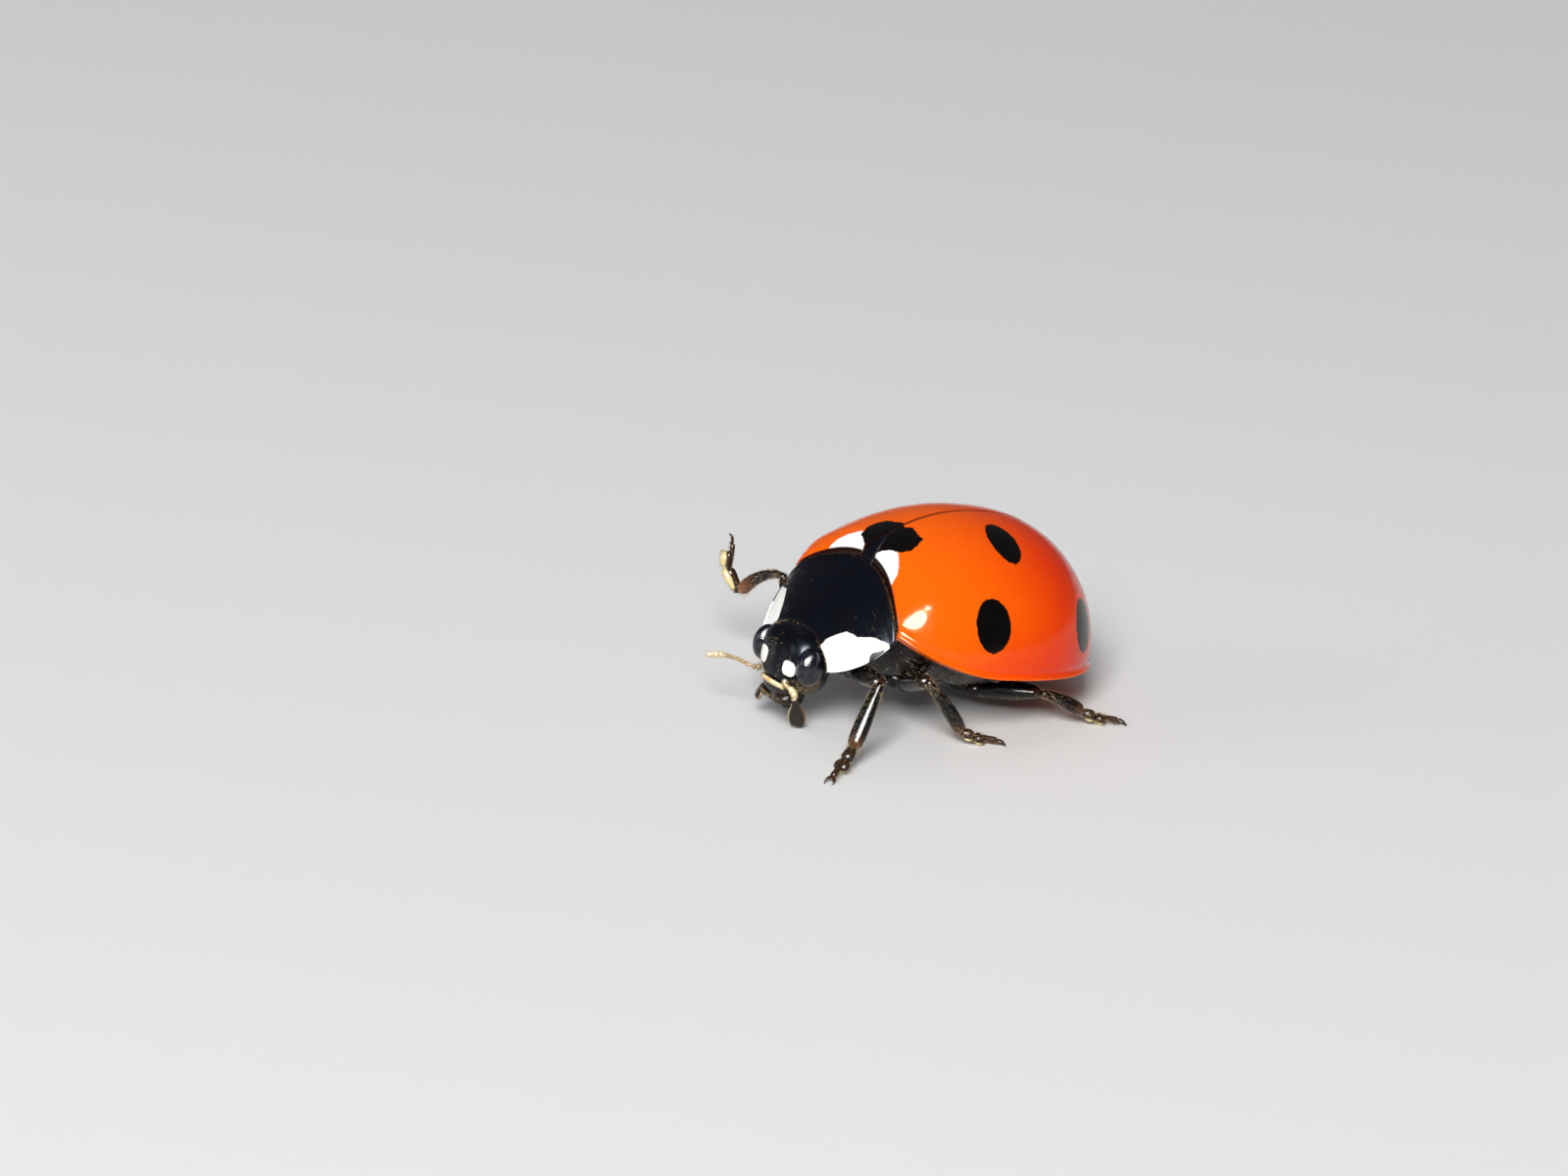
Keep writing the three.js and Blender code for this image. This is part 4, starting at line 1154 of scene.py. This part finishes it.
# ---------------------------------------------------------------- feelers
FEELER_PATHS = {
    "left": (
        (0.44, -3.68, -0.93), (0.62, -3.8, -0.94), (0.9, -3.92, -0.9), (1.2, -4.02, -0.86),
        (1.46, -4.1, -0.9),
    ),
    "right": (
        (-0.45, -3.68, -0.93), (-0.56, -3.86, -0.95), (-0.8, -4.08, -0.88), (-1.04, -4.32, -0.88),
        (-1.24, -4.54, -0.95),
    ),
}
FEELER_JOINTS = (                      # each joint's length and radius, as shares of the whole and the club
    (0.15, 0.98), (0.09, 0.80), (0.12, 0.58), (0.075, 0.56), (0.07, 0.56), (0.065, 0.58),
    (0.06, 0.60), (0.06, 0.68), (0.09, 0.88), (0.10, 1.0), (0.12, 0.90),
)


def feeler_stretches(name):
    """Start, end and radius share of each joint of a feeler."""
    path = smooth_path(FEELER_PATHS[name], 200)
    reach = 0.0
    for size, radius in FEELER_JOINTS:
        start = path[int(round(reach * 199))]
        reach = min(1.0, reach + size)
        yield start, path[int(round(reach * 199))], radius


def build_feeler(limbs, name, material):
    """A feeler of eleven joints, the first two darker and the last three a pale club."""
    shape = Shape()
    club = limbs.club / MM
    for index, (start, end, share) in enumerate(feeler_stretches(name)):
        radius = club * share
        axis = end - start
        points = [start - 0.06 * axis, start + 0.45 * axis, start + 0.8 * axis, end]
        tone = 0.55 if index < 2 else 0.25
        body, faces = tube(points, [0.5 * radius, 0.8 * radius, radius, 0.85 * radius], 22, 20, blunt=0.8)
        pale = 0.85 if index >= 8 else 0.15
        shape.add(body, faces, tone=tone, pale=pale)
    nodes = [f"antenna_{name}_{part}" for part in ("shaft", "club")]
    shape.finish(f"antenna_{name}", material, "feeler", nodes)


class LADYBIRD_OT_feelers(bpy.types.Operator):
    """Builds the two jointed antennae with their clubs"""

    bl_idname = "ladybird.feelers"
    bl_label = "Antennae"

    def execute(self, context):
        limbs = context.scene.ladybird_limbs
        material = feeler_finish(limbs)
        for name in FEELER_PATHS:
            build_feeler(limbs, name, material)
        return {"FINISHED"}


# ---------------------------------------------------------------- legs
TARSAL_ENDS = {True: (0, 48, 84, 98), False: (0, 32, 60, 94)}      # in hundredths of the foot
TOE_LIFT = 0.09                        # middle of a standing foot's last joint above the floor
ANKLE_LIFT = 0.29
HIGH_ANKLE_LIFT = 0.42                 # that of the foot set down steeply in front


def standing(knee, ankle, toe, lift=ANKLE_LIFT):
    return (
        np.array(knee),
        np.array([*ankle, floor_level(ankle[1]) + lift]),
        np.array([*toe, floor_level(toe[1]) + TOE_LIFT]),
    )


LEGS = {
    "front_left": standing((2.38, -2.76, -0.3), (2.68, -3.3), (3.2, -4.05), HIGH_ANKLE_LIFT),
    "middle_left": standing((2.4, -1.63, -0.22), (2.48, -0.58), (2.8, 0.16)),
    "hind_left": standing((2.3, 1.32, -0.42), (2.55, 2.28), (2.84, 3.04)),
    "front_right": tuple(np.array(
        ((-2.36, -2.22, 0.38), (-3.4, -2.52, -0.28), (-3.75, -2.72, 0.66)),
    )),
    "middle_right": standing((-2.4, -1.5, -0.22), (-2.72, -1.3), (-2.98, -0.54)),
    "hind_right": standing((-2.3, 1.32, -0.42), (-2.52, 2.3), (-2.8, 3.06)),
}
RAISED = "front_right"
ARCH = np.array([-0.32, 0.0, 0.95])    # direction in which the raised shin arches
FOOT_CURL = {True: np.array([-0.10, -0.14, -0.04]), False: np.array([0.0, 0.0, -0.05])}
SHIN_TAPER = {True: (0.5, 0.55, 0.68, 0.86, 0.95, 0.86), False: (0.56, 0.66, 0.84, 1.0, 1.0, 0.86)}


def leg_joints(name):
    """Root, hip, knee, ankle and toe of a leg."""
    pair, side_name = name.split("_")
    flip = np.array([1 if side_name == "left" else -1, 1, 1])
    root, hip = (np.array(p) * flip for p in HIPS[pair])
    return (root, hip, *LEGS[name])


def bent(start, end, bow, up):
    """Points from start to end that bow upwards in the middle."""
    lift = np.array(up) * bow
    return [start, mix(start, end, 0.3) + 0.8 * lift, mix(start, end, 0.7) + 0.8 * lift, end]


def claw_points(base, forward, side, down, size):
    """A claw that sweeps forward and hooks down."""
    return [
        base,
        base + size * (0.4 * forward + 0.22 * side),
        base + size * (0.85 * forward + 0.3 * side + 0.18 * down),
        base + size * (1.05 * forward + 0.22 * side + 0.5 * down),
    ]


def femur_path(name):
    _, hip, knee, _, _ = leg_joints(name)
    return bent(mix(hip, knee, 0.06), knee, 0.03, (0, 0, 1))


def tibia_path(name):
    _, _, knee, ankle, _ = leg_joints(name)
    arch = (0.2, ARCH) if name == RAISED else (0.05, (0, 0, 1))
    return bent(mix(knee, ankle, -0.03), ankle, *arch)


def tarsus_points(name):
    """Ends of the tarsal joints along the foot's curve."""
    _, _, _, ankle, toe = leg_joints(name)
    path = smooth_path([ankle, mix(ankle, toe, 0.5) + FOOT_CURL[name == RAISED], toe], 101)
    return [path[index] for index in TARSAL_ENDS[name == RAISED]]


def foot_down(name, forward):
    """Direction in which the sole of a foot faces."""
    down = np.array([0.0, 0.0, -1.0]) if name != RAISED else np.array([-0.55, -0.8, -0.2])
    return unit(down - forward * (forward @ down))


def pad_paths(name, radius, down):
    """Middle lines of the brushes under the first two joints of a foot."""
    cuts = tarsus_points(name)
    sink, back = (0.62, 0.02) if name == RAISED else (0.55, 0.2)
    for start, end in ((cuts[0], cuts[1]), (cuts[1], cuts[2])):
        yield [mix(start, end, share) + sink * radius * down for share in (back, 0.55, 0.99)]


def build_leg(limbs, name, material):
    """A leg's coxa, femur and spurred tibia, and then its foot."""
    root, hip, knee, ankle, _ = leg_joints(name)
    nodes = [f"{part}_{name}" for part in ("coxa", "femur", "tibia", "tarsus")]
    coxa = Shape().add(*tube([root, mix(root, hip, 0.5), hip], [0.2, 0.27, 0.22], 26, 28, 0.85), warm=0.1)
    coxa.add(*ellipsoid(mix(hip, knee, 0.06), (0.19, 0.19, 0.18)), warm=0.35)
    coxa.finish(f"leg_{name}_coxa", material, "leg", nodes[:1])
    femur = limbs.femur / MM
    taper = (0.62, 0.92, 1.0, 0.95, 0.78, 0.62)
    body, faces = tube(femur_path(name), [femur * share for share in taper], 44, 30, 0.78)
    warm = 0.75 * hump(np.linalg.norm(body - knee, axis=-1), 0.0, 0.2)
    Shape().add(body, faces, warm=warm).finish(f"leg_{name}_femur", material, "leg", nodes[1:2])
    tibia = limbs.tibia / MM
    taper = SHIN_TAPER[name == RAISED]
    body, faces = tube(tibia_path(name), [tibia * share for share in taper], 52, 26, 0.82)
    near = np.linalg.norm(body - ankle, axis=-1)
    thin = 0.75 * hump(near, 0.05, 0.35) if name == RAISED else 0.3 * hump(near, 0.05, 0.22)
    shin = Shape().add(body, faces, warm=0.75 * hump(near, 0.0, 0.3), thin=thin)
    axis = unit(ankle - knee)
    across = unit(np.cross(axis, np.array([0.0, 0.0, 1.0])))
    for side in (1, -1):
        base = ankle - 0.05 * axis + side * 0.08 * across
        spur = [base, base + 0.07 * axis + side * 0.03 * across, base + 0.15 * axis + side * 0.02 * across]
        shin.add(*tube(spur, [0.024, 0.018, 0.004], 12, 10), warm=1.0)
    shin.finish(f"leg_{name}_tibia", material, "leg", nodes[2:3])
    build_tarsus(limbs, name, material, nodes[3:])


def build_tarsus(limbs, name, material, nodes):
    """Two broad padded joints, a slender one and a pair of toothed claws."""
    cuts = tarsus_points(name)
    forward = unit(cuts[3] - cuts[1])
    radius = limbs.tarsus / MM
    down = foot_down(name, forward)
    side = unit(np.cross(forward, down))
    foot = Shape()
    first = [cuts[0] - 0.03 * forward, mix(cuts[0], cuts[1], 0.5), cuts[1] + 0.02 * forward]
    sizes = [0.7 * radius, 0.95 * radius, 1.1 * radius]
    foot.add(*tube(first, sizes, 22, 22, 0.85, -down), warm=0.6, pad=0.0)
    sizes = [0.62 * radius, 0.85 * radius, 0.66 * radius]
    for edge in (1, -1):
        lobe = [
            mix(cuts[1], cuts[2], 0.02),
            mix(cuts[1], cuts[2], 0.5) + edge * 0.3 * radius * side,
            cuts[2] + edge * 0.62 * radius * side + 0.02 * down,
        ]
        foot.add(*tube(lobe, sizes, 22, 20, 0.8, -down), warm=0.7, pad=0.0)
    thick = 1.6 if name == RAISED else 1.0
    for pad in pad_paths(name, radius, down):
        sizes = [0.45 * thick * radius, 0.8 * thick * radius, 0.66 * thick * radius]
        foot.add(*tube(pad, sizes, 22, 20, 0.56, -down), warm=0.6, pad=1.0)
    last = [cuts[1] - 0.25 * radius * down, mix(cuts[2], cuts[3], 0.3) - 0.25 * radius * down, cuts[3]]
    sizes = [0.36 * radius, 0.42 * radius, 0.62 * radius]
    foot.add(*tube(last, sizes, 26, 18, 0.9, -down), warm=0.8, pad=0.0)
    size = limbs.claw / MM
    for edge in (1, -1):
        base = cuts[3] - 0.01 * forward + edge * 0.2 * radius * side
        claw = claw_points(base, forward, edge * side, down, size)
        foot.add(*tube(claw, [0.034, 0.03, 0.02, 0.004], 24, 12), warm=0.9, pad=0.0)
        start, end = base + 0.02 * down, base + 0.3 * size * forward + 0.3 * size * down
        tooth = tube([start, mix(start, end, 0.5), end], [0.026, 0.02, 0.004], 12, 10)
        foot.add(*tooth, warm=0.9, pad=0.0)
    foot.finish(f"leg_{name}_tarsus", material, "leg", nodes)


class LADYBIRD_OT_legs(bpy.types.Operator):
    """Builds the legs: coxa, femur, tibia and clawed foot of each"""

    bl_idname = "ladybird.legs"
    bl_label = "Legs"

    def execute(self, context):
        limbs = context.scene.ladybird_limbs
        material = leg_finish(limbs)
        for name in LEGS:
            build_leg(limbs, name, material)
        return {"FINISHED"}


# ---------------------------------------------------------------- hairs
HAIR_PATCH = 0.0015                    # radius of a hair's patch in the OFBake map


class Coat:
    """Hairs gathered from several places of one piece."""

    def __init__(self, hairs, seed=0):
        self.draw = np.random.RandomState(hairs.seed + seed)
        self.width = hairs.width / MM
        self.roots, self.ways, self.sizes, self.sag, self.unwrap = [], [], [], [], []

    def scatter(self, roots, ways, size, unwrap, spread=0.25, sag=0.3, down=(0, 0, -1)):
        """Adds a hair of about the size at each root, along its way and sagging towards down."""
        roots = np.asarray(roots, float).reshape(-1, 3)
        count = len(roots)
        ways = unit(unit(ways) + spread * self.draw.normal(size=(count, 3)))
        self.roots.append(roots)
        self.ways.append(ways)
        self.sizes.append(size * self.draw.uniform(0.7, 1.25, count))
        self.sag.append(np.broadcast_to(sag * np.asarray(down, float), (count, 3)))
        self.unwrap.append(np.asarray(unwrap, float).reshape(-1, 2))

    def finish(self, name, material, slot):
        """Joins the hairs, each a bent three-sided cone with its patch of the OFBake map."""
        roots, ways = np.vstack(self.roots), np.vstack(self.ways)
        sizes, sag = np.concatenate(self.sizes)[:, None], np.vstack(self.sag)
        unwrap = np.vstack(self.unwrap)
        count = len(roots)
        side = unit(np.cross(ways, self.draw.normal(size=(count, 3))))
        rise = np.cross(ways, side)
        points, maps, tips = [], [], []
        for share, radius in ((-0.08, 1.0), (0.45, 0.72)):
            centre = roots + ways * sizes * share + sag * sizes * max(0, share) ** 2
            for k in range(3):
                turn = 2 * math.pi * k / 3
                out = math.cos(turn) * side + math.sin(turn) * rise
                points.append(centre + self.width * radius * out)
                patch = HAIR_PATCH * np.array([math.cos(turn), math.sin(turn)])
                maps.append(unwrap + patch * (1 - 0.5 * max(0, share)))
                tips.append(np.full(count, max(0.0, share)))
        points.append(roots + ways * sizes + sag * sizes)
        maps.append(unwrap)
        tips.append(np.ones(count))
        index = np.arange(count)[:, None] * 7
        cone = [(2, 1, 0)] + [(k, (k + 1) % 3, 3 + (k + 1) % 3, 3 + k) for k in range(3)]
        cone += [(3 + k, 3 + (k + 1) % 3, 6) for k in range(3)]
        faces = [tuple(row) for face in cone for row in (index + np.array(face)).tolist()]
        shape = Shape().add(np.stack(points, 1), faces, tip=np.stack(tips, 1))
        shape.finish(name, material, slot, uv=np.stack(maps, 1).reshape(-1, 2))


def shield_hairs(hairs, material):
    """A fringe along the base, short hairs at the front edge and sparse ones towards the corners."""
    coat = Coat(hairs, 1)

    def root(share, angle):
        point = shield_point(share, angle)
        point[..., 2] += rear_rise(share, angle)
        return point

    def place(angle, share):
        return np.stack([0.1 + 0.8 * angle / math.pi, 0.1 + 0.8 * share], -1)

    count = 210
    even = np.linspace(-1, 1, count)
    angle = QUARTER * (1 + np.sign(even) * np.abs(even) ** 0.62 * 0.96) + coat.draw.normal(0, 0.006, count)
    share = np.full(count, 0.985)
    ways = root(share, angle) - root(share - 0.05, angle)
    coat.scatter(root(share, angle), ways, 0.06, place(angle, share), 0.35, 0.25)
    count = 150
    angle = np.linspace(0.02, math.pi - 0.02, count)
    share = np.full(count, 0.015)
    ways = root(share, angle) - root(share + 0.05, angle)
    coat.scatter(root(share, angle), ways, 0.07, place(angle, share), 0.35, 0.2)
    count = 420
    share = coat.draw.uniform(0.05, 0.97, count)
    low = coat.draw.beta(1.0, 2.6, count) * 1.2 + 0.03
    angle = np.where(coat.draw.uniform(size=count) < 0.5, low, math.pi - low)
    dark = corner_field(share, angle) < 0
    share, angle = share[dark], angle[dark]
    here = root(share, angle)
    ways = unit(root(share + 0.02, angle) - here) + 0.5 * unit(here - np.array([0, -2.6, -0.8]))
    coat.scatter(here, ways, 0.032, place(angle, share), 0.2, 0.2)
    coat.finish("hairs_pronotum", material, "black_shield")


def head_hairs(hairs, head, material):
    """Short hairs over the face, closer below and behind the eyes and round the mouth."""
    coat = Coat(hairs, 2)
    grid, normals, mark = head_surface(head, 100, 160)
    rows, columns = mark.shape
    flat, facing = grid.reshape(-1, 3), normals.reshape(-1, 3)
    folded = np.abs(flat * np.array([1, 0, 0])) + flat * np.array([0, 1, 1])
    eye = np.linalg.norm((folded - EYE_CENTRE) / EYE_RADII, axis=-1)
    behind = np.exp(-(np.linalg.norm(folded - [0.82, -3.25, -0.95], axis=-1) / 0.2) ** 2)
    cheek = np.exp(-(np.linalg.norm(folded - [0.62, -3.55, -0.95], axis=-1) / 0.16) ** 2)
    weight = (0.12 + 8.0 * behind + 1.5 * cheek) * (eye > 1.14) * (flat[:, 1] < -3.05) * (mark.ravel() < 0)
    weight *= np.sin(np.repeat(np.linspace(0, 1.9, rows), columns)) + 0.02
    picks = coat.draw.choice(len(flat), 420, replace=False, p=weight / weight.sum())
    ways = facing[picks] * 0.8 + np.array([0, -0.3, -0.6])
    unwrap = np.stack([picks % columns / columns, picks // columns / rows], -1) * 0.8 + 0.1
    coat.scatter(flat[picks], ways, 0.055, unwrap, 0.3, 0.2)
    count = 26
    across = np.linspace(-0.4, 0.4, count)
    roots = np.stack([across, -3.72 + 0.13 * (across / 0.47) ** 2, np.full(count, -1.33)], -1)
    unwrap = np.stack([0.5 + across * 0.2, np.full(count, 0.03)], -1)
    coat.scatter(roots, np.tile([0, -0.4, -1.0], (count, 1)), 0.1, unwrap, 0.2, 0.1)
    coat.finish("hairs_head", material, "black_shield")


def limb_hairs(coat, path, radius, count, size, column, lean=0.55, flat=0.8):
    """Hairs round a limb that runs along a path, leaning towards its end."""
    centres = smooth_path(path, 41)
    tangents = unit(np.gradient(centres, axis=0))
    share = coat.draw.uniform(0, 1, count)
    turn = coat.draw.uniform(0, 2 * math.pi, count)
    axis = tangents[(share * 40).astype(int)]
    centre = np.stack([np.interp(share * 40, np.arange(41), centres[:, k]) for k in range(3)], -1)
    side = unit(np.cross(axis, [0.1, 0.2, 1.0]))
    rise = np.cross(side, axis)
    out = np.cos(turn)[:, None] * side + flat * np.sin(turn)[:, None] * rise
    roots = centre + 0.93 * np.interp(share, *radius)[:, None] * out
    unwrap = np.stack([(column + 0.1 + 0.8 * turn / (2 * math.pi)) / 32, 0.1 + 0.8 * share], -1)
    coat.scatter(roots, unit(out) * (1 - lean) + axis * lean, size, unwrap, 0.16, 0.05)


def leg_hairs(hairs, limbs, material):
    """Golden hairs along the legs, longest on the shins and thick under the feet."""
    coat = Coat(hairs, 3)
    femur, tibia, tarsus = limbs.femur / MM, limbs.tibia / MM, limbs.tarsus / MM
    for index, name in enumerate(LEGS):
        column = 5 * index
        thigh = ([0, 0.5, 1], [0.8 * femur, femur, 0.62 * femur])
        limb_hairs(coat, femur_path(name), thigh, 180, 0.062, column)
        shin = ([0, 0.5, 1], [0.58 * tibia, 0.9 * tibia, 0.9 * tibia])
        limb_hairs(coat, tibia_path(name), shin, 240, 0.075, column + 1)
        cuts = tarsus_points(name)
        radius = ([0, 1], [0.9 * tarsus, 1.1 * tarsus])
        limb_hairs(coat, cuts[:3], radius, 130, 0.06, column + 2)
        limb_hairs(coat, cuts[2:], ([0, 1], [0.4 * tarsus, 0.6 * tarsus]), 40, 0.05, column + 3)
        if name == RAISED:
            brush = ([0, 0.5, 1], [0.6 * tarsus, 1.0 * tarsus, 0.9 * tarsus])
            for pad in pad_paths(name, tarsus, foot_down(name, unit(cuts[3] - cuts[1]))):
                limb_hairs(coat, pad, brush, 220, 0.035, column + 4)
    coat.finish("hairs_legs", material, "leg")


def feeler_hairs(hairs, limbs, material):
    """Short hairs on every joint of the feelers, closer on the clubs."""
    coat = Coat(hairs, 4)
    for index, name in enumerate(FEELER_PATHS):
        for joint, (start, end, share) in enumerate(feeler_stretches(name)):
            radius = ([0, 1], [0.8 * share * limbs.club / MM, share * limbs.club / MM])
            count = 30 if joint > 7 else 12
            limb_hairs(coat, (start, end), radius, count, 0.035, 12 * index + joint, flat=1.0)
    coat.finish("hairs_feelers", material, "feeler")


def underside_hairs(hairs, material):
    """Pale hairs over the breast and the belly."""
    coat = Coat(hairs, 5)
    count = 1500
    station = coat.draw.uniform(-2.2, 2.5, count)
    angle = coat.draw.uniform(0.25, math.pi - 0.25, count)
    inset = SHELL["wall"] + JOINT_GAP
    width, margin = dome_width(station, inset), dome_margin(station, inset)
    sag = (margin - belly_level(station)) * np.sin(angle) ** BELLY["roundness"]
    roots = np.stack([-width * np.cos(angle), station, margin - sag], -1)
    ways = np.stack([-0.25 * np.cos(angle), np.full(count, 1.0), -0.55 * np.sin(angle)], -1)
    unwrap = np.stack([0.1 + 0.8 * angle / math.pi, 0.1 + 0.8 * (station + 2.2) / 4.7], -1)
    coat.scatter(roots, ways, 0.085, unwrap, 0.2, 0.1)
    coat.finish("hairs_underside", material, "underside")


class LADYBIRD_OT_hairs(bpy.types.Operator):
    """Builds the hairs of the pronotum, head, legs, antennae and underside"""

    bl_idname = "ladybird.hairs"
    bl_label = "Hairs"

    def execute(self, context):
        scene = context.scene
        hairs, limbs = scene.ladybird_hairs, scene.ladybird_limbs
        gold = hair_finish("hair_gold", hairs.gold_dark, hairs.gold)
        silver = hair_finish("hair_silver", hairs.gold_dark, hairs.silver)
        shield_hairs(hairs, gold)
        head_hairs(hairs, scene.ladybird_head, gold)
        leg_hairs(hairs, limbs, gold)
        feeler_hairs(hairs, limbs, gold)
        underside_hairs(hairs, silver)
        return {"FINISHED"}


# ---------------------------------------------------------------- stage
CAMERA_TOWARD = np.array([0.7783, -0.5757, 0.2507])     # from the body to the camera, in body axes
CAMERA_RIGHT = np.array([0.5383, 0.8173, 0.2054])
CAMERA_UP = np.array([-0.3232, -0.0249, 0.946])
AIM_RIGHT = -3.019                     # from the body origin to the middle of the view, along those axes
AIM_UP = 0.968
BEETLE_MIDDLE = (0, 0, 0.002)          # in the frame, in metres
SUN_SIDE = (0.19, -0.17, 0.20)         # place of the key light and of the glint that goes with it
FLOOR_REACH = 3.0                      # in metres


def put_aimed(thing, location, target, up=(0, 0, 1)):
    """Puts a camera or light into the scene, where it looks from location at target."""
    location = Vector(location)
    back = (location - Vector(target)).normalized()
    right = Vector(up).cross(back).normalized()
    matrix = np.eye(4)
    for column, axis in enumerate((right, back.cross(right), back, location)):
        matrix[:3, column] = axis
    thing.matrix_world = Matrix(matrix.tolist())
    bpy.context.scene.collection.objects.link(thing)


def build_camera(stage):
    origin = ORIGIN * MM
    location = origin + TURN @ CAMERA_TOWARD * stage.distance
    target = origin + TURN @ (CAMERA_RIGHT * AIM_RIGHT + CAMERA_UP * AIM_UP) * MM
    data = bpy.data.cameras.new("camera")
    data.lens, data.sensor_width = stage.lens, 36.0
    data.clip_start, data.clip_end = 0.001, 20.0
    camera = bpy.data.objects.new("camera", data)
    put_aimed(camera, location, target, TURN @ CAMERA_UP)
    bpy.context.scene.camera = camera


def build_light(name, location, size, power, colour=(1, 1, 1), diffuse=True, gloss=True):
    """A soft light, square, or round where it shows in gloss alone. It looks at the beetle from location."""
    data = bpy.data.lights.new(name, "AREA")
    data.shape = "SQUARE" if diffuse else "DISK"
    data.size, data.energy, data.color = size, power, colour
    light = bpy.data.objects.new(name, data)
    light.visible_diffuse, light.visible_glossy = diffuse, gloss
    put_aimed(light, location, BEETLE_MIDDLE)


def build_floor(stage):
    mesh = bpy.data.meshes.new("floor")
    corners = [(x * FLOOR_REACH, y * FLOOR_REACH, 0) for x, y in ((-1, -1), (1, -1), (1, 1), (-1, 1))]
    mesh.from_pydata(corners, [], [(0, 1, 2, 3)])
    nodes = Nodes("floor_paper")
    tone = nodes.steps(nodes.noise(0.02, 2.0), 0.3, 0.7)
    paper = nodes.blend(nodes.math("MULTIPLY", tone, 0.04), stage.floor, (0.7, 0.7, 0.69))
    mesh.materials.append(nodes.surface(paper, 0.9, Specular_IOR_Level=0.0))
    floor = bpy.data.objects.new("floor", mesh)
    bpy.context.scene.collection.objects.link(floor)


class LADYBIRD_OT_stage(bpy.types.Operator):
    """Builds the camera, the lights and the floor"""

    bl_idname = "ladybird.stage"
    bl_label = "Stage"

    def execute(self, context):
        scene = context.scene
        stage = scene.ladybird_stage
        build_camera(stage)
        build_floor(stage)
        cool, faint = (0.90, 0.94, 1.0), (0.95, 0.97, 1.0)
        build_light("key", SUN_SIDE, 0.125, 1.18 * stage.key)
        build_light("glint", SUN_SIDE, 0.2, 6.5 * stage.key, diffuse=False)
        build_light("streak", (0.165, -0.05, 0.29), 0.07, 0.6 * stage.key, diffuse=False)
        build_light("fill", (-0.17, -0.02, 0.30), 0.50, 1.5 * stage.fill, cool, gloss=False)
        build_light("front", (-0.12, -0.32, 0.12), 0.14, 1.2 * stage.fill, faint)
        world = bpy.data.worlds.new("sky")
        world.use_nodes = True
        background = world.node_tree.nodes["Background"]
        background.inputs["Color"].default_value = (0.93, 0.96, 1.0, 1.0)
        background.inputs["Strength"].default_value = stage.world
        scene.world = world
        scene.view_settings.view_transform = "Standard"
        return {"FINISHED"}


# ---------------------------------------------------------------- add-on
SETTINGS = {
    "ladybird_shell": LadybirdShellSettings,
    "ladybird_shield": LadybirdShieldSettings,
    "ladybird_head": LadybirdHeadSettings,
    "ladybird_limbs": LadybirdLimbSettings,
    "ladybird_hairs": LadybirdHairSettings,
    "ladybird_stage": LadybirdStageSettings,
}
OPERATORS = (
    LADYBIRD_OT_stage,
    LADYBIRD_OT_wing_cases,
    LADYBIRD_OT_pronotum,
    LADYBIRD_OT_underside,
    LADYBIRD_OT_head,
    LADYBIRD_OT_mouth,
    LADYBIRD_OT_feelers,
    LADYBIRD_OT_legs,
    LADYBIRD_OT_hairs,
)


class LADYBIRD_PT_panel(bpy.types.Panel):
    """Lists the ladybird's settings and the pieces that they make"""

    bl_idname = "LADYBIRD_PT_panel"
    bl_label = "Ladybird"
    bl_space_type = "VIEW_3D"
    bl_region_type = "UI"
    bl_category = "Ladybird"

    def draw(self, context):
        for operator in OPERATORS:
            self.layout.operator(operator.bl_idname)
        for key, settings in SETTINGS.items():
            box = self.layout.box()
            box.label(text=settings.__doc__)
            for name in settings.__annotations__:
                box.prop(getattr(context.scene, key), name)


def register():
    for group in (*SETTINGS.values(), *OPERATORS, LADYBIRD_PT_panel):
        bpy.utils.register_class(group)
    for key, settings in SETTINGS.items():
        setattr(bpy.types.Scene, key, PointerProperty(type=settings))


def unregister():
    for key in SETTINGS:
        delattr(bpy.types.Scene, key)
    for group in reversed((*SETTINGS.values(), *OPERATORS, LADYBIRD_PT_panel)):
        bpy.utils.unregister_class(group)


def main():
    register()
    bpy.ops.ladybird.stage()
    bpy.ops.ladybird.wing_cases()
    bpy.ops.ladybird.pronotum()
    bpy.ops.ladybird.underside()
    bpy.ops.ladybird.head()
    bpy.ops.ladybird.mouth()
    bpy.ops.ladybird.feelers()
    bpy.ops.ladybird.legs()
    bpy.ops.ladybird.hairs()


if __name__ == "__main__":
    main()
